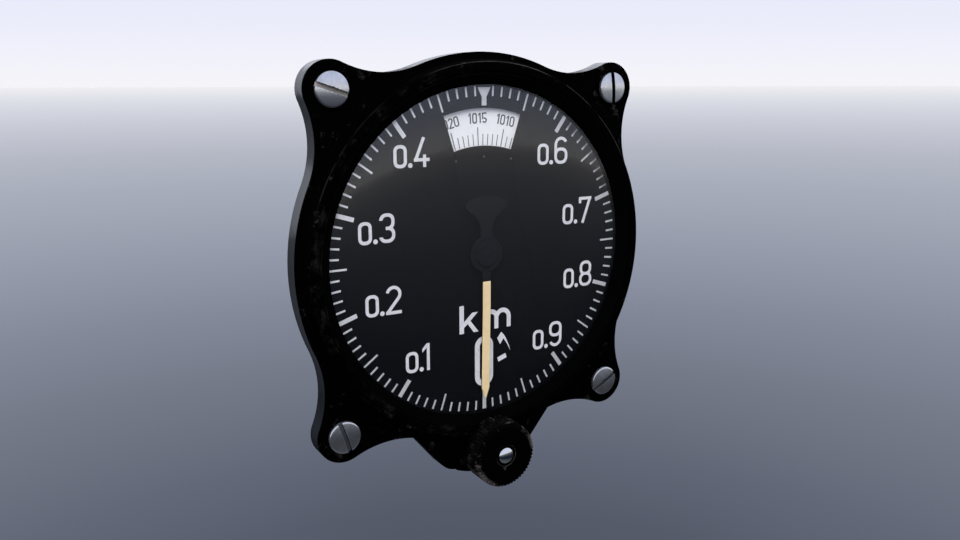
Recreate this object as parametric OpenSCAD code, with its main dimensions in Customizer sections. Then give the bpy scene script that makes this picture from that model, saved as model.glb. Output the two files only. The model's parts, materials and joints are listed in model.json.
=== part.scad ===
// Panel altimeter with one pointer, a pressure window and a setting knob.
// The face looks towards -Y, +Z is up, and the origin lies on the dial's axis
// in the plane of the flange's rear face. All sizes are in millimetres.
// Angles on the face count clockwise from the top, as an observer sees them.

/* [Flange] */
// Radius of the flange's round middle
disc_r = 43.1; // [42.9:0.1:44]
// Thickness of the flange
flange_t = 4.4; // [4.2:0.1:6]
// Radius of each screw lug
lug_r = 5.75; // [5.2:0.05:6.5]
// Distance of each lug from the upright centre line
lug_x = 34.2; // [33.5:0.1:35.5]
// Height of each lug above or below the axis
lug_z = 35.5; // [34.8:0.1:36.5]
// Radius of the hollow curve between a lug and the middle
lug_blend_r = 20.9; // [16:0.1:24]
// Bevel along the flange's front edge
edge_bevel = 0.45; // [0.2:0.05:0.8]
// Radius of the tongue's lower edge
tongue_r = 18; // [17:0.1:19]
// Depth of wall under the shaft's cover
tongue_wall = 1.2; // [0.5:0.05:1.5]
// Radius of the tongue's corners
tongue_corner_r = 5; // [4.5:0.1:5.5]
// Distance of the tongue's corners from the centre line
tongue_corner_x = 7.2; // [6.5:0.1:7.6]
// Slope of the tongue's straight sides in degrees
tongue_slope = 50.6; // [48:0.1:53]

/* [Rim and glass] */
// Outer radius of the raised rim at its top
rim_r = 41.2; // [41:0.1:41.6]
// Height of the rim above the flange
rim_h = 2.9; // [2.85:0.05:3.6]
// Radius of the bore that holds dial and glass
bore_r = 38.9; // [38.7:0.1:39.3]
// Clearance of each piece in that bore
bore_gap = 0.05; // [0.03:0.01:0.1]
// Radius of the sloped ring's opening over the glass
opening_r = 36.45; // [36.2:0.05:36.8]
// Thickness of the sloped ring at its opening
lip_t = 0.1; // [0.05:0.05:0.3]
// Thickness of the gasket between dial and glass
gasket_t = 0.15; // [0.1:0.05:0.3]
// Thickness of the cover glass
glass_t = 0.55; // [0.5:0.05:0.7]
// Even part of the glass's rise from its edge to its centre
glass_dome = 0.6; // [0.5:0.1:1]
// Part of that rise in the rounder shoulder near the edge
glass_shoulder = 1.2; // [0.8:0.1:1.3]
// Inner radius of the threaded ring that holds the sloped ring
bezel_in_r = 38.1; // [38:0.05:38.3]

/* [Dial] */
// Thickness of the dial plate
dial_t = 0.85; // [0.7:0.05:1]
// Depth of the dial below the flange's front face
dial_sink = 0.05; // [0:0.05:0.2]
// Thickness of paint and print
print_t = 0.05; // [0.03:0.01:0.08]
// Outer radius of the graduation
tick_out_r = 36.1; // [35.8:0.05:36.2]
// Inner radius of the short marks
tick_short_r = 34; // [33.6:0.1:34.6]
// Inner radius of the middle marks
tick_mid_r = 32.3; // [32:0.1:33]
// Inner radius of the wide marks
tick_long_r = 32; // [31.7:0.1:32.4]
// Width of the short marks
tick_w = 0.41; // [0.35:0.01:0.6]
// Width of the wide marks
tick_wide_w = 0.93; // [0.8:0.01:1.5]
// Inner radius of the pressure window
window_in_r = 23.5; // [23:0.1:24]
// Outer radius of the pressure window
window_out_r = 31.5; // [31:0.1:31.6]
// Half of the pressure window's angle
window_half = 18.1; // [15:0.1:20]
// Height of the large figures
figure_h = 6.1; // [5.5:0.1:6.5]
// Width of the large figures
figure_w = 3.6; // [3.2:0.1:4]
// Height of the small leading noughts
nought_h = 4.7; // [4.2:0.1:5]
// Width of the small leading noughts
nought_w = 3; // [2.7:0.1:3.2]
// Stroke of the figures
figure_s = 0.69; // [0.6:0.01:0.9]
// Radius of the hole for the hand's arbor
dial_hole_r = 1.6; // [1.4:0.1:2.2]

/* [Pressure scale] */
// Turn of the scale for one hectopascal in degrees
step_angle = 2.77; // [2.4:0.01:2.8]
// Pressure under the index at rest in hectopascals
set_pressure = 1014.24; // [1013:0.01:1016]
// Lowest pressure on the scale
low_pressure = 940; // [940:5:980]
// Highest pressure on the scale
high_pressure = 1050; // [1030:5:1050]
// Inner radius of the scale disc
scale_in_r = 21; // [18:0.5:22]
// Outer radius of the scale disc
scale_out_r = 33; // [32:0.5:34]
// Thickness of the scale disc
scale_t = 0.35; // [0.25:0.05:0.4]

/* [Screws] */
// Head radius of the mounting screws
screw_head_r = 3.5; // [3:0.1:3.8]
// Height of the mounting screws' heads at the edge
screw_head_h = 0.8; // [0.6:0.05:1.2]
// Shank radius of the mounting screws
screw_r = 2; // [1.5:0.1:2.5]
// Length of the shanks behind the flange
screw_reach = 6; // [4:0.5:10]
// Width of the screwdriver slots
slot_w = 0.95; // [0.7:0.05:1.1]
// Depth of the screwdriver slots
slot_d = 0.6; // [0.4:0.05:0.7]

/* [Knob and shaft] */
// Radius of the knob over its ribs
knob_r = 7.4; // [6.5:0.1:7.5]
// Length of the knob
knob_len = 6.1; // [5:0.1:8]
// Number of ribs on the knob
knob_ribs = 54; // [40:1:64]
// Depth of the grooves between ribs
rib_depth = 0.35; // [0.2:0.05:0.5]
// Gap between knob and rim
knob_gap = 0.45; // [0.3:0.05:1]
// Radius of the boss behind the knob
boss_r = 5; // [4.6:0.1:5.2]
// Radius of the knob's shaft
shaft_r = 2; // [1.6:0.1:2.2]
// Outer radius of the shaft's bush
bush_r = 3.4; // [3.1:0.1:3.6]
// Cord radius of the shaft's sealing ring
seal_cord_r = 0.5; // [0.4:0.05:0.5]

/* [Gears] */
// Module of the setting gears
set_module = 0.9; // [0.9:0.1:0.9]
// Teeth of the carrier's gear
carrier_teeth = 88; // [88:1:88]
// Teeth of the knob's pinion
knob_teeth = 10; // [10:1:10]
// Module of the movement's gears
move_module = 0.4; // [0.36:0.01:0.42]
// Teeth of a whole circle of the sector
sector_teeth = 84; // [84:12:84]
// Teeth of the intermediate wheel
wheel_teeth = 72; // [60:12:72]
// Teeth of each movement pinion
pinion_teeth = 12; // [12:1:12]
// Backlash of the setting gears
set_backlash = 0.16; // [0.12:0.01:0.25]
// Backlash of the movement gears
move_backlash = 0.07; // [0.05:0.01:0.1]

/* [Case] */
// Wall between the movement's bearing and the outside of the barrel
collar_wall = 3.2; // [3.1:0.05:3.3]
// Straight length of the barrel
barrel_len = 5; // [4.5:0.5:6]
// Wall of the rear case
case_wall = 1.6; // [1.2:0.1:1.8]
// Depth of the rear case behind the flange
case_depth = 31.5; // [31:0.5:34]
// Radius of the rear case at its back
case_back_r = 29.3; // [28.8:0.1:30]
// Thickness of the rear case's flange
rear_flange_t = 0.9; // [0.8:0.05:1]
// Radius of the bearing that carries the movement
bearing_r = 36.5; // [36.2:0.1:36.8]
// Running clearance of the larger bearings
run_gap = 0.05; // [0.03:0.01:0.08]
// Radius of the static port's hose spigot
port_r = 3; // [2.5:0.1:3.5]
// Length of the static port's hose spigot
port_len = 9; // [7:0.5:12]
// Radius of the static port's bore
port_bore_r = 1.6; // [1:0.1:1.8]

/* [Movement] */
// Distance between the two movement plates
plate_gap = 21.2; // [20.8:0.1:21.6]
// Thickness of the movement plates
plate_t = 1.2; // [1:0.1:1.4]
// Radius of the arbors' pivots
pivot_r = 0.6; // [0.5:0.05:0.7]
// Clearance of the pivots in their bushes
pivot_gap = 0.03; // [0.02:0.01:0.05]
// Length of the rocking lever
lever_len = 15.5; // [14.5:0.5:16]
// Place of the rocking shaft across the face
rocker_x = 16; // [15:0.5:16.5]
// Height of the rocking shaft above the axis
rocker_z = 2; // [1.5:0.5:2.5]
// Radius of the aneroid capsules
capsule_r = 12.3; // [10:0.1:12.5]
// Thickness of one capsule with its neck
capsule_pitch = 5.2; // [4.8:0.1:5.2]
// Number of capsules in the stack
capsule_count = 3; // [1:1:3]
// Depth of the capsules' axis behind the flange
capsule_y = 16.5; // [16:0.1:16.8]

/* [Pointer] */
// Height of the pointer above the dial
pointer_lift = 0.8; // [0.75:0.05:1.1]
// Thickness of the pointer's plate
pointer_t = 0.3; // [0.2:0.05:0.35]
// Lean of the pointer's blade towards the dial in degrees
blade_lean = 1.6; // [1:0.1:1.8]
// Radius where that lean begins
blade_bend_r = 12; // [11:0.5:14]
// Radius of the pointer's hub disc
hub_r = 4; // [3.5:0.1:4.5]
// Radius of the pointer's boss
hub_boss_r = 2.75; // [2.4:0.05:3]
// Radius of the pointer's tip
tip_r = 33.4; // [32.5:0.1:33.8]
// Radius where the taper to the tip begins
taper_r = 30.9; // [30:0.1:31.5]
// Radius where the luminous bar begins
lume_r = 6.1; // [5.5:0.1:6.5]
// Width of the luminous bar
lume_w = 1.95; // [1.8:0.05:2.4]
// Radius of the counterweight's rounded end
fan_r = 12.8; // [12:0.1:13.5]

/* [Hidden] */
$fn = 120;

// Planes along the axis, from the front to the back
flange_y = -flange_t;
rim_y = flange_y - rim_h;
dial_y = flange_y + dial_sink;
dial_back = dial_y + dial_t;
ledge_t = 0.6;
ledge_back = dial_back + ledge_t;
washer_t = 0.16;
gear_play = 0.25;
gear_front = ledge_back + gear_play;
gear_back = -rear_flange_t - 0.1;
glass_back = dial_y - gasket_t;
glass_front = glass_back - glass_t;
ring_seam = rim_y + 0.55;
disc_front = ledge_back - 0.1;
disc_back = disc_front + 1.6;
plate1_y = disc_back;
plate1_back = plate1_y + plate_t;
plate2_y = plate1_back + plate_gap;
plate2_back = plate2_y + plate_t;
pointer_back = dial_y - pointer_lift;
pointer_front = pointer_back - pointer_t;
knob_back = rim_y - knob_gap;
knob_front = knob_back - knob_len;

// Radii and places that follow from the sizes above
ledge_r = bore_r - 1.5;
piece_r = bore_r - bore_gap;
gear_gap = 0.35;
chamber_r = set_module * (carrier_teeth / 2 + 0.8) + gear_gap;
recess_gap = 0.1;
rear_flange_r = chamber_r + 0.8;
knob_z = -set_module * (carrier_teeth + knob_teeth) / 2;
knob_chamber_r = set_module * (knob_teeth / 2 + 0.8) + 0.2;
shaft_cover_r = knob_chamber_r + 0.45;
tongue_bottom = knob_z - shaft_cover_r - tongue_wall;
tongue_z = tongue_bottom + tongue_r;
tongue_corner_z = knob_z - 0.2;
ear_r = 2.6;
ear_at = chamber_r + 2.9;
lug_angle = atan2(lug_x, lug_z);
disc_hole_r = 3;
fit_gap = 0.01;
blend_bite = 0.01;
spigot_in_r = bearing_r - 1.2;
spigot_back = 1.8;
collar_back = 2;
barrel_r = bearing_r + run_gap + collar_wall;
case_in_r = barrel_r - case_wall;
back_wall = 1.5;

// Setting range and its stop
high_angle = (high_pressure - set_pressure) * step_angle;
low_angle = (low_pressure - set_pressure) * step_angle;
stop_pin_r = 0.8;
stop_at = 180;
stop_play = 0.5;
stop_pin_half = asin(stop_pin_r / bearing_r);
stop_half = (360 - (high_angle - low_angle)) / 2 - stop_pin_half - stop_play;
stop_mid = stop_at - stop_pin_half - stop_play - stop_half - high_angle;
stop_y = collar_back + stop_pin_r + 0.1;
stop_back = stop_y + stop_pin_r;

// Gear train of the movement
pressure_angle = 25;
sector_r = move_module * sector_teeth / 2;
wheel_r = move_module * wheel_teeth / 2;
pinion_r = move_module * pinion_teeth / 2;
mesh1 = sector_r + pinion_r;
mesh2 = wheel_r + pinion_r;
rocker_r = norm([rocker_x, rocker_z]);
rocker_dir = atan2(rocker_x, rocker_z);
bend = acos((rocker_r * rocker_r + mesh2 * mesh2 - mesh1 * mesh1) / (2 * rocker_r * mesh2));
inter_dir = rocker_dir + bend;
inter_x = mesh2 * sin(inter_dir);
inter_z = mesh2 * cos(inter_dir);
sector_dir = atan2(inter_x - rocker_x, inter_z - rocker_z);
wheel_dir = inter_dir + 180;
hand_min = -30;
hand_max = 360;
train_ratio = sector_teeth * wheel_teeth / pinion_teeth / pinion_teeth;
lever_tilt = (hand_min + hand_max) / 2 / train_ratio;
sector_half = (hand_max - hand_min) / 2 / train_ratio + 4.5;
train_y = plate1_back + 3.2;
wheel_t = 1;
sector_y = train_y + 4;
lever_t = 1;
link_y = capsule_y - 0.5;
lever_y = link_y + 1.2;
pin_x = rocker_x - lever_len * sin(lever_tilt);
pin_z = rocker_z + lever_len * cos(lever_tilt);
link_pin_r = 0.5;
open_pivot_gap = 0.12;
post_r = 1;
post_end = pin_x - 7;
post_fork = 1.6;
stack_end = post_end - 2.2;
neck_r = 2.5;
stack_base = stack_end - capsule_count * capsule_pitch - 1.2;
bracket_t = 1.6;
arbor_end_gap = 0.4;
pillar_r = 2;
pillar_screw_r = 0.9;
pillar_places = [[-24, -2], [25, -5], [-14, -22]];
rear_plate_top = pin_z - capsule_r - 0.8;

plate_clearance = 0.9;
rear_lug_half = 5;

// Inner radius of the rear case at one depth
function case_in_at(y) = case_in_r
    - (case_in_r - case_back_r + case_wall) * (y - barrel_len) / (case_depth - back_wall - barrel_len);

// An upright point at a clockwise angle
function at(r, a) = [r * sin(a), r * cos(a)];

// The involute's angle, in degrees
function inv(a) = tan(a) * 180 / PI - a;

// Half the angle that a tooth covers at one radius
function tooth_half(m, z, r, slack) = let (rp = m * z / 2, rb = rp * cos(pressure_angle))
    90 / z - slack / rp * 45 / PI + inv(pressure_angle) - inv(r > rb ? acos(rb / r) : 0);

function tooth_radii(m, z) = let (rp = m * z / 2, rb = rp * cos(pressure_angle), root = rp - 1.05 * m)
    root < rb ? [root, rb, rp, rp + 0.8 * m] : [root, rp, rp + 0.8 * m];

function gear_points(m, z, slack) = let (radii = tooth_radii(m, z), n = len(radii))
    [for (k = [0 : z - 1], side = [-1, 1], i = [0 : n - 1])
        let (r = radii[side < 0 ? i : n - 1 - i])
        at(r, 360 * k / z + side * tooth_half(m, z, r, slack))];

// The centre of a circle of radius r that touches two circles from outside
function blend_centre(r1, c, r2, r, side) = let (a = r1 + r, b = r2 + r, d = norm(c),
    along = (a * a - b * b + d * d) / (2 * d), off = side * sqrt(a * a - along * along), u = c / d)
    [along * u[0] - off * u[1], along * u[1] + off * u[0]];

// Plain helpers: everything is drawn upright in the face's plane and given depth along Y
module deep(y0, y1) translate([0, y1, 0]) rotate([90, 0, 0]) linear_extrude(height = y1 - y0) children();

module rod(r, y0, y1, x = 0, z = 0) translate([x, y1, z]) rotate([90, 0, 0]) cylinder(r = r, h = y1 - y0);

module ring(r_out, r_in, y0, y1, x = 0, z = 0) {
    difference() {
        rod(r_out, y0, y1, x, z);
        rod(r_in, y0 - 1, y1 + 1, x, z);
    }
}

// A disc whose front edge is bevelled
module bevelled(r, y0, y1, x, z, bevel) {
    rod(r, y0 + bevel, y1, x, z);
    translate([x, y0 + bevel, z]) rotate([90, 0, 0]) cylinder(r1 = r, r2 = r - bevel, h = bevel);
}

module turned() rotate([-90, 0, 0]) rotate_extrude() children();

module on_x(y, z) translate([0, y, z]) rotate([0, 90, 0]) children();

module gear_shape(m, z, slack, tooth_at) rotate(-tooth_at) polygon(gear_points(m, z, slack));

// A piece of pie between two clockwise angles
module wedge(r, a0, a1) {
    steps = max(1, ceil((a1 - a0) / 60));
    polygon(concat([[0, 0]], [for (i = [0 : steps]) at(r, a0 + (a1 - a0) * i / steps)]));
}

module band(r_out, r_in, a0, a1) {
    intersection() {
        difference() {
            circle(r = r_out);
            circle(r = r_in);
        }
        wedge(r_out * 1.4, a0, a1);
    }
}

// Strokes of the figures: a straight bar and an arc between two angles from +X
module bar(a, b, s) translate(a) rotate(atan2(b[1] - a[1], b[0] - a[0]))
    translate([0, -s / 2]) square([norm(b - a), s]);

module arc(c, r, s, a0, a1) translate(c) band(r + s / 2, r - s / 2, 90 - a1, 90 - a0);

// An upright shape with round corners, and the closed stroke round it
module rounded(w, h, r) {
    for (x = [r, w - r], z = [r, h - r]) translate([x, z]) circle(r = r);
    translate([0, r]) square([w, h - 2 * r]);
    translate([r, 0]) square([w - 2 * r, h]);
}

module loop_stroke(w, h, s, r = 0) {
    corner = r > 0 ? r : 0.42 * w;
    difference() {
        rounded(w, h, corner);
        translate([s, s]) rounded(w - 2 * s, h - 2 * s, min(corner - 0.88 * s, 0.48 * (w - 2 * s)));
    }
}

module figure_eight(w, h, s) {
    loop_stroke(w, 0.55 * h, s);
    translate([0.03 * w, 0.55 * h - s]) loop_stroke(0.94 * w, 0.45 * h + s, s);
}

module figure_six(w, h, s) {
    c = (w - s) / 2;
    loop_stroke(w, 0.6 * h, s);
    bar([s / 2, w / 2], [s / 2, h - w / 2], s);
    arc([w / 2, h - w / 2], c, s, 25, 180);
}

module figure(n, w, h, s) {
    c = (w - s) / 2;
    if (n == 0) loop_stroke(w, h, s);
    if (n == 1) {
        translate([w - s, 0]) square([s, h]);
        polygon([[w - s, h], [0, h - 1.6 * s], [0, h - 2.8 * s], [w - s, h - 1.3 * s]]);
    }
    if (n == 2) {
        turn = [w / 2 + c * cos(-40), h - w / 2 + c * sin(-40)];
        arc([w / 2, h - w / 2], c, s, -40, 165);
        bar(turn, [0.55 * s, 0.6 * s], s);
        square([w, s]);
    }
    if (n == 3) {
        difference() {
            figure_eight(w, h, s);
            translate([-0.1, 0.2 * h]) square([0.42 * w + 0.1, 0.57 * h]);
        }
    }
    if (n == 4) {
        bar([0.64 * w, h], [0.45 * s, 0.21 * h], s);
        translate([0, 0.25 * h - s / 2]) square([w, s]);
        translate([0.68 * w - s / 2, 0]) square([s, 0.42 * h]);
    }
    if (n == 5) {
        arc([w / 2, s / 2 + c], c, s, -160, 115);
        bar([s / 2, h], [s / 2, s / 2 + 1.5 * c], s);
        translate([0, h - s]) square([w, s]);
    }
    if (n == 6) figure_six(w, h, s);
    if (n == 7) {
        bar([w - 0.5 * s, h - 0.2 * s], [0.32 * w, 0], s);
        translate([0, h - s]) square([w, s]);
        translate([0, h - 2.1 * s]) square([s, 2.1 * s]);
    }
    if (n == 8) figure_eight(w, h, s);
    if (n == 9) translate([w, h]) rotate(180) figure_six(w, h, s);
}

function figures_of(v) = v < 10 ? [v] : concat(figures_of(floor(v / 10)), [v % 10]);

function figure_width(n, w) = n == 1 ? 0.5 * w : w;

function figure_cell(n, w) = n == 1 ? 0.76 * w : w;

// A whole number whose middle stands on the origin
module number(v, w, h, s, gap) {
    f = figures_of(v);
    starts = [for (i = 0, x = 0; i <= len(f); x = x + (i < len(f) ? figure_cell(f[i], w) + gap : 0),
        i = i + 1) x];
    for (i = [0 : len(f) - 1])
        translate([starts[i] + (figure_cell(f[i], w) - figure_width(f[i], w)) / 2
            - (starts[len(f)] - gap) / 2, 0]) figure(f[i], figure_width(f[i], w), h, s);
}

// Outer shape of the flange with its bevelled edge
module blend_web(c, r2, blend_r, side) {
    f = blend_centre(disc_r, c, r2, blend_r, side);
    cut_r = blend_r + blend_bite;
    difference() {
        deep(flange_y, 0) polygon([[0, 0], f, c]);
        rod(cut_r, flange_y - 1, 1, f[0], f[1]);
        translate([f[0], flange_y + edge_bevel, f[1]]) rotate([90, 0, 0])
            cylinder(r1 = cut_r, r2 = cut_r + edge_bevel * 2, h = edge_bevel * 2);
    }
}

// One straight side of the tongue, from its rounded corner up to the disc's edge
side_rise = 0.06;
side_inset = 0.4;

module straight_web(c) {
    along = [cos(tongue_slope), sin(tongue_slope)];
    out = [sin(tongue_slope), -cos(tongue_slope)];
    reach = tongue_corner_r + side_rise;
    line = c * out + reach;
    inner_r = disc_r - side_inset;
    notch = atan2(c[0], -c[1]) + acos((disc_r * disc_r + c * c - tongue_corner_r * tongue_corner_r)
        / (2 * disc_r * norm(c)));
    bevel = edge_bevel - 0.06;
    difference() {
        deep(flange_y, 0) polygon([c + out * reach, out * line - along * sqrt(inner_r * inner_r - line * line),
            inner_r * [sin(notch), -cos(notch)]]);
        translate([c[0], 0, c[1]]) rotate([0, -tongue_slope, 0]) rotate([90, 0, 90])
            translate([0, 0, -2]) linear_extrude(height = 18)
            polygon([[flange_y - 1, bevel + 1 - reach], [flange_y + bevel + 1, -reach - 1],
                [flange_y - 1, -reach - 1]]);
    }
}

module tongue() {
    corner = [tongue_corner_x, tongue_corner_z];
    intersection() {
        bevelled(tongue_r, flange_y, 0, 0, tongue_z, edge_bevel);
        translate([-corner[0], flange_y - 1, tongue_bottom - 1])
            cube([2 * corner[0], flange_t + 2, tongue_r]);
    }
    for (s = [-1, 1]) {
        bevelled(tongue_corner_r, flange_y, 0, s * corner[0], corner[1], edge_bevel);
        mirror([s < 0 ? 1 : 0, 0, 0]) straight_web(corner);
    }
}

module flange_blank() {
    bevelled(disc_r, flange_y, 0, 0, 0, edge_bevel);
    for (sx = [-1, 1], sz = [-1, 1]) {
        bevelled(lug_r, flange_y, 0, sx * lug_x, sz * lug_z, edge_bevel);
        for (side = [-1, 1]) blend_web([sx * lug_x, sz * lug_z], lug_r, lug_blend_r, side);
    }
    tongue();
}

module rim_blank() {
    turned() polygon([[bore_r - 1, flange_y + 1], [bore_r - 1, rim_y], [rim_r - 0.5, rim_y],
        [rim_r - 0.12, rim_y + 0.14], [rim_r, rim_y + 0.5], [rim_r + 0.55, flange_y - 0.4],
        [rim_r + 0.95, flange_y], [rim_r + 0.95, flange_y + 1]]);
    bevelled(boss_r, rim_y + 0.3, flange_y + 1, 0, knob_z, 0.3);
}

module ears(r, y0, y1) {
    for (sx = [-1, 1], up = [lug_angle, 180 - lug_angle]) {
        p = at(ear_at, sx * up);
        rod(r, y0, y1, p[0], p[1]);
    }
}

// Front frame: flange with lugs, raised rim, boss of the knob and chamber of the setting gears
module case_front() color("#17171a") {
    difference() {
        union() {
            flange_blank();
            rim_blank();
        }
        rod(bore_r, rim_y - 1, dial_back);
        turned() polygon([[0, rim_y - 1], [bore_r + 1.25, rim_y - 1], [bore_r, rim_y + 0.25],
            [0, rim_y + 0.25]]);
        rod(ledge_r, dial_back - 1, ledge_back + 1);
        rod(chamber_r, ledge_back, 1);
        rod(rear_flange_r + recess_gap, -rear_flange_t, 1);
        ears(ear_r + recess_gap, -rear_flange_t, 1);
        rod(shaft_cover_r + recess_gap, -rear_flange_t, 1, 0, knob_z);
        rod(knob_chamber_r, ledge_back, 1, 0, knob_z);
        rod(bush_r + fit_gap, rim_y - 1, ledge_back + 1, 0, knob_z);
        rod(bush_r + bush_lip + 0.1, rim_y - 1, rim_y + 0.3, 0, knob_z);
        for (sx = [-1, 1], sz = [-1, 1])
            rod(screw_r + 0.15, flange_y - 1, 1, sx * lug_x, sz * lug_z);
        ears(case_screw_r, -rear_flange_t - case_screw_len, 0);
    }
}

case_screw_r = 0.8;
case_screw_len = 1.8;
case_screw_head_r = 1.35;

// Rear case: bearing collar, barrel and tapering pot, closed at the back
module case_rear() color("#1d1d20") {
    taper_y = case_depth - 1.2;
    difference() {
        union() {
            rod(rear_flange_r, -rear_flange_t, 0);
            ears(ear_r, -rear_flange_t, 0);
            rod(shaft_cover_r, -rear_flange_t, 0, 0, knob_z);
            turned() polygon([[0, 0], [barrel_r, 0], [barrel_r, barrel_len],
                [barrel_r - 0.7, barrel_len + 0.7], [case_back_r + 0.8, taper_y],
                [case_back_r, case_depth], [0, case_depth]]);
        }
        rod(bearing_r + run_gap, -rear_flange_t - 1, collar_back + 1);
        turned() polygon([[0, collar_back], [case_in_r, collar_back], [case_in_r, barrel_len],
            [case_back_r - case_wall, case_depth - back_wall], [0, case_depth - back_wall]]);
        rod(port_thread_r, case_depth - back_wall - 1, case_depth + 1);
        rod(plug_r, case_depth - back_wall - 1, case_depth + 1, 0, plug_z);
        rod(shaft_pivot_r + run_gap, -rear_flange_t - 1, -shaft_pivot_wall, 0, knob_z);
        stop_bore();
        for (sx = [-1, 1], up = [lug_angle, 180 - lug_angle]) {
            p = at(ear_at, sx * up);
            translate([p[0], 0.01, p[1]]) rotate([90, 0, 0])
                cylinder(r1 = case_screw_head_r + fit_gap, r2 = case_screw_r + fit_gap, h = 0.56);
            rod(case_screw_r + fit_gap, -rear_flange_t - 1, 0, p[0], p[1]);
        }
    }
}

port_thread_r = 4;
plug_r = 3.2;
plug_z = -17;
shaft_pivot_r = 0.8;
shaft_pivot_wall = 0.25;

module stop_bore() {
    p = at(1, stop_at);
    translate([0, stop_y, 0]) rotate([p[1] > 0 ? 0 : 180, 0, 0]) cylinder(r = stop_pin_r + fit_gap, h = 60);
}

// Small countersunk screws that hold the two halves of the case
module case_screws() color("#5f5e5a") {
    for (sx = [-1, 1], up = [lug_angle, 180 - lug_angle]) {
        p = at(ear_at, sx * up);
        difference() {
            union() {
                translate([p[0], 0, p[1]]) rotate([90, 0, 0])
                    cylinder(r1 = case_screw_head_r, r2 = case_screw_r, h = 0.55);
                rod(case_screw_r - fit_gap, 0.1 - rear_flange_t - case_screw_len, -0.1, p[0], p[1]);
            }
            translate([p[0] - 2, -0.3, p[1] - 0.18]) cube([4, 1, 0.36]);
        }
    }
}

// Slotted screws in the lugs, each with its own slot angle and a waisted shank in the flange
screw_waist = 0.15;
slot_turns = [[-1, 1, -18.7], [1, 1, 94.5], [-1, -1, -72], [1, -1, 28]];

module mounting_screws() color("#8d9096") {
    head_y = flange_y - screw_head_h;
    crown = 0.25;
    for (s = slot_turns) {
        translate([s[0] * lug_x, 0, s[1] * lug_z]) difference() {
            union() {
                turned() polygon([[0, flange_y], [screw_head_r - 0.1, flange_y],
                    [screw_head_r, flange_y - 0.12], [screw_head_r, head_y + 0.15],
                    [screw_head_r - 0.2, head_y], [screw_head_r * 0.7, head_y - crown * 0.55],
                    [screw_head_r * 0.4, head_y - crown * 0.85], [0, head_y - crown]]);
                translate([0, 0.1, 0]) rotate([90, 0, 0])
                    cylinder(r1 = screw_r - screw_waist, r2 = screw_r - screw_waist * 0.6, h = 0.3 - flange_y);
                rod(screw_r, 0, screw_reach - 0.4);
                translate([0, screw_reach, 0]) rotate([90, 0, 0])
                    cylinder(r1 = screw_r - 0.4, r2 = screw_r, h = 0.4);
            }
            rotate([0, -s[2], 0]) translate([-5, head_y - 1, -slot_w / 2])
                cube([10, 1 + slot_d - crown, slot_w]);
        }
    }
}

// Threaded ring that holds the sloped ring down
module bezel_ring() color("#17171a") {
    turned() polygon([[bezel_in_r, ring_seam], [bezel_in_r + 0.35, rim_y + 0.1], [piece_r, rim_y + 0.1],
        [piece_r, ring_seam]]);
}

// The glass is nearly flat in the middle and rounder towards its edge
glass_steps = [0, 0.21, 0.36, 0.49, 0.59, 0.67, 0.735, 0.795, 0.845, 0.89, 0.93, 0.965, 1];
glass_roundness = 5.7;

function glass_rise(f) = glass_dome * (1 - f * f) + glass_shoulder * (1 - pow(f, glass_roundness));

lip_back = glass_front - glass_rise(opening_r / piece_r) - 0.05;

// Sloped ring that lies on the glass and frames the dial
module sloped_ring() color("#17171a") {
    turned() polygon([[opening_r, lip_back], [opening_r, lip_back - lip_t], [bezel_in_r - 0.1, ring_seam],
        [piece_r, ring_seam], [piece_r, glass_front - 0.03]]);
}

module cover_glass() color("#c8d4dc", 0.35) {
    last = len(glass_steps) - 1;
    turned() polygon([for (i = [0 : last]) [piece_r * glass_steps[i], glass_front - glass_rise(glass_steps[i])],
        for (i = [last : -1 : 0]) [piece_r * glass_steps[i], glass_back - glass_rise(glass_steps[i])]]);
}

module glass_gasket() color("#202020") ring(piece_r, opening_r + 1.05, glass_back, dial_y);

module dial_plate() color("#26272b") {
    difference() {
        deep(dial_y, dial_back) difference() {
            circle(r = piece_r);
            circle(r = dial_hole_r);
            band(window_out_r, window_in_r, -window_half, window_half);
        }
        for (p = rivet_places) rod(rivet_r, dial_y - 1, dial_back + 1, p[0], p[1]);
    }
}

rivet_r = 0.22;
rivet_places = [[-6.9, 20.5], [0, 21.2], [6.9, 20.5]];

module dial_rivets() color("#3a3b3f") {
    for (p = rivet_places) rod(rivet_r - fit_gap, dial_y - 0.04, dial_back, p[0], p[1]);
}

// A hundred marks, counted from the bottom, with the index at the top
module dial_graduations() color("#d5d6de") {
    deep(dial_y - print_t, dial_y) {
        for (i = [0 : 99]) {
            wide = i % 10 == 0;
            inner = wide ? tick_long_r : i % 5 == 0 ? tick_mid_r : tick_short_r;
            w = wide ? tick_wide_w : tick_w;
            if (i != 50) rotate(-180 - 3.6 * i) translate([-w / 2, inner]) square([w, tick_out_r - inner]);
        }
        polygon([[-1.6, tick_out_r - 0.3], [-0.58, tick_mid_r + 1.5], [-0.58, tick_long_r],
            [0.58, tick_long_r], [0.58, tick_mid_r + 1.5], [1.6, tick_out_r - 0.3]]);
    }
}

// One label such as 0.4, from the left edge of its small nought
module label(x, z, n) {
    first = n == 1 ? 4 : 4.6;
    translate([x, z]) {
        figure(0, nought_w, nought_h, figure_s);
        translate([nought_w + 0.75, 0.45]) circle(r = 0.5);
        translate([first, 0]) figure(n, n == 1 ? 1.75 : figure_w, figure_h, figure_s);
    }
}

label_places = [[-19.6, -24.4, 1], [-28.5, -10.7, 2], [-29.6, 4.6, 3], [-21.4, 19.7, 4],
    [13.9, 18.7, 6], [21.1, 4.6, 7], [21.7, -10.7, 8], [13.2, -24.4, 9]];
unit_z = -17.57;
unit_s = 1.05;
zero_z = -30.6;

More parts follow.
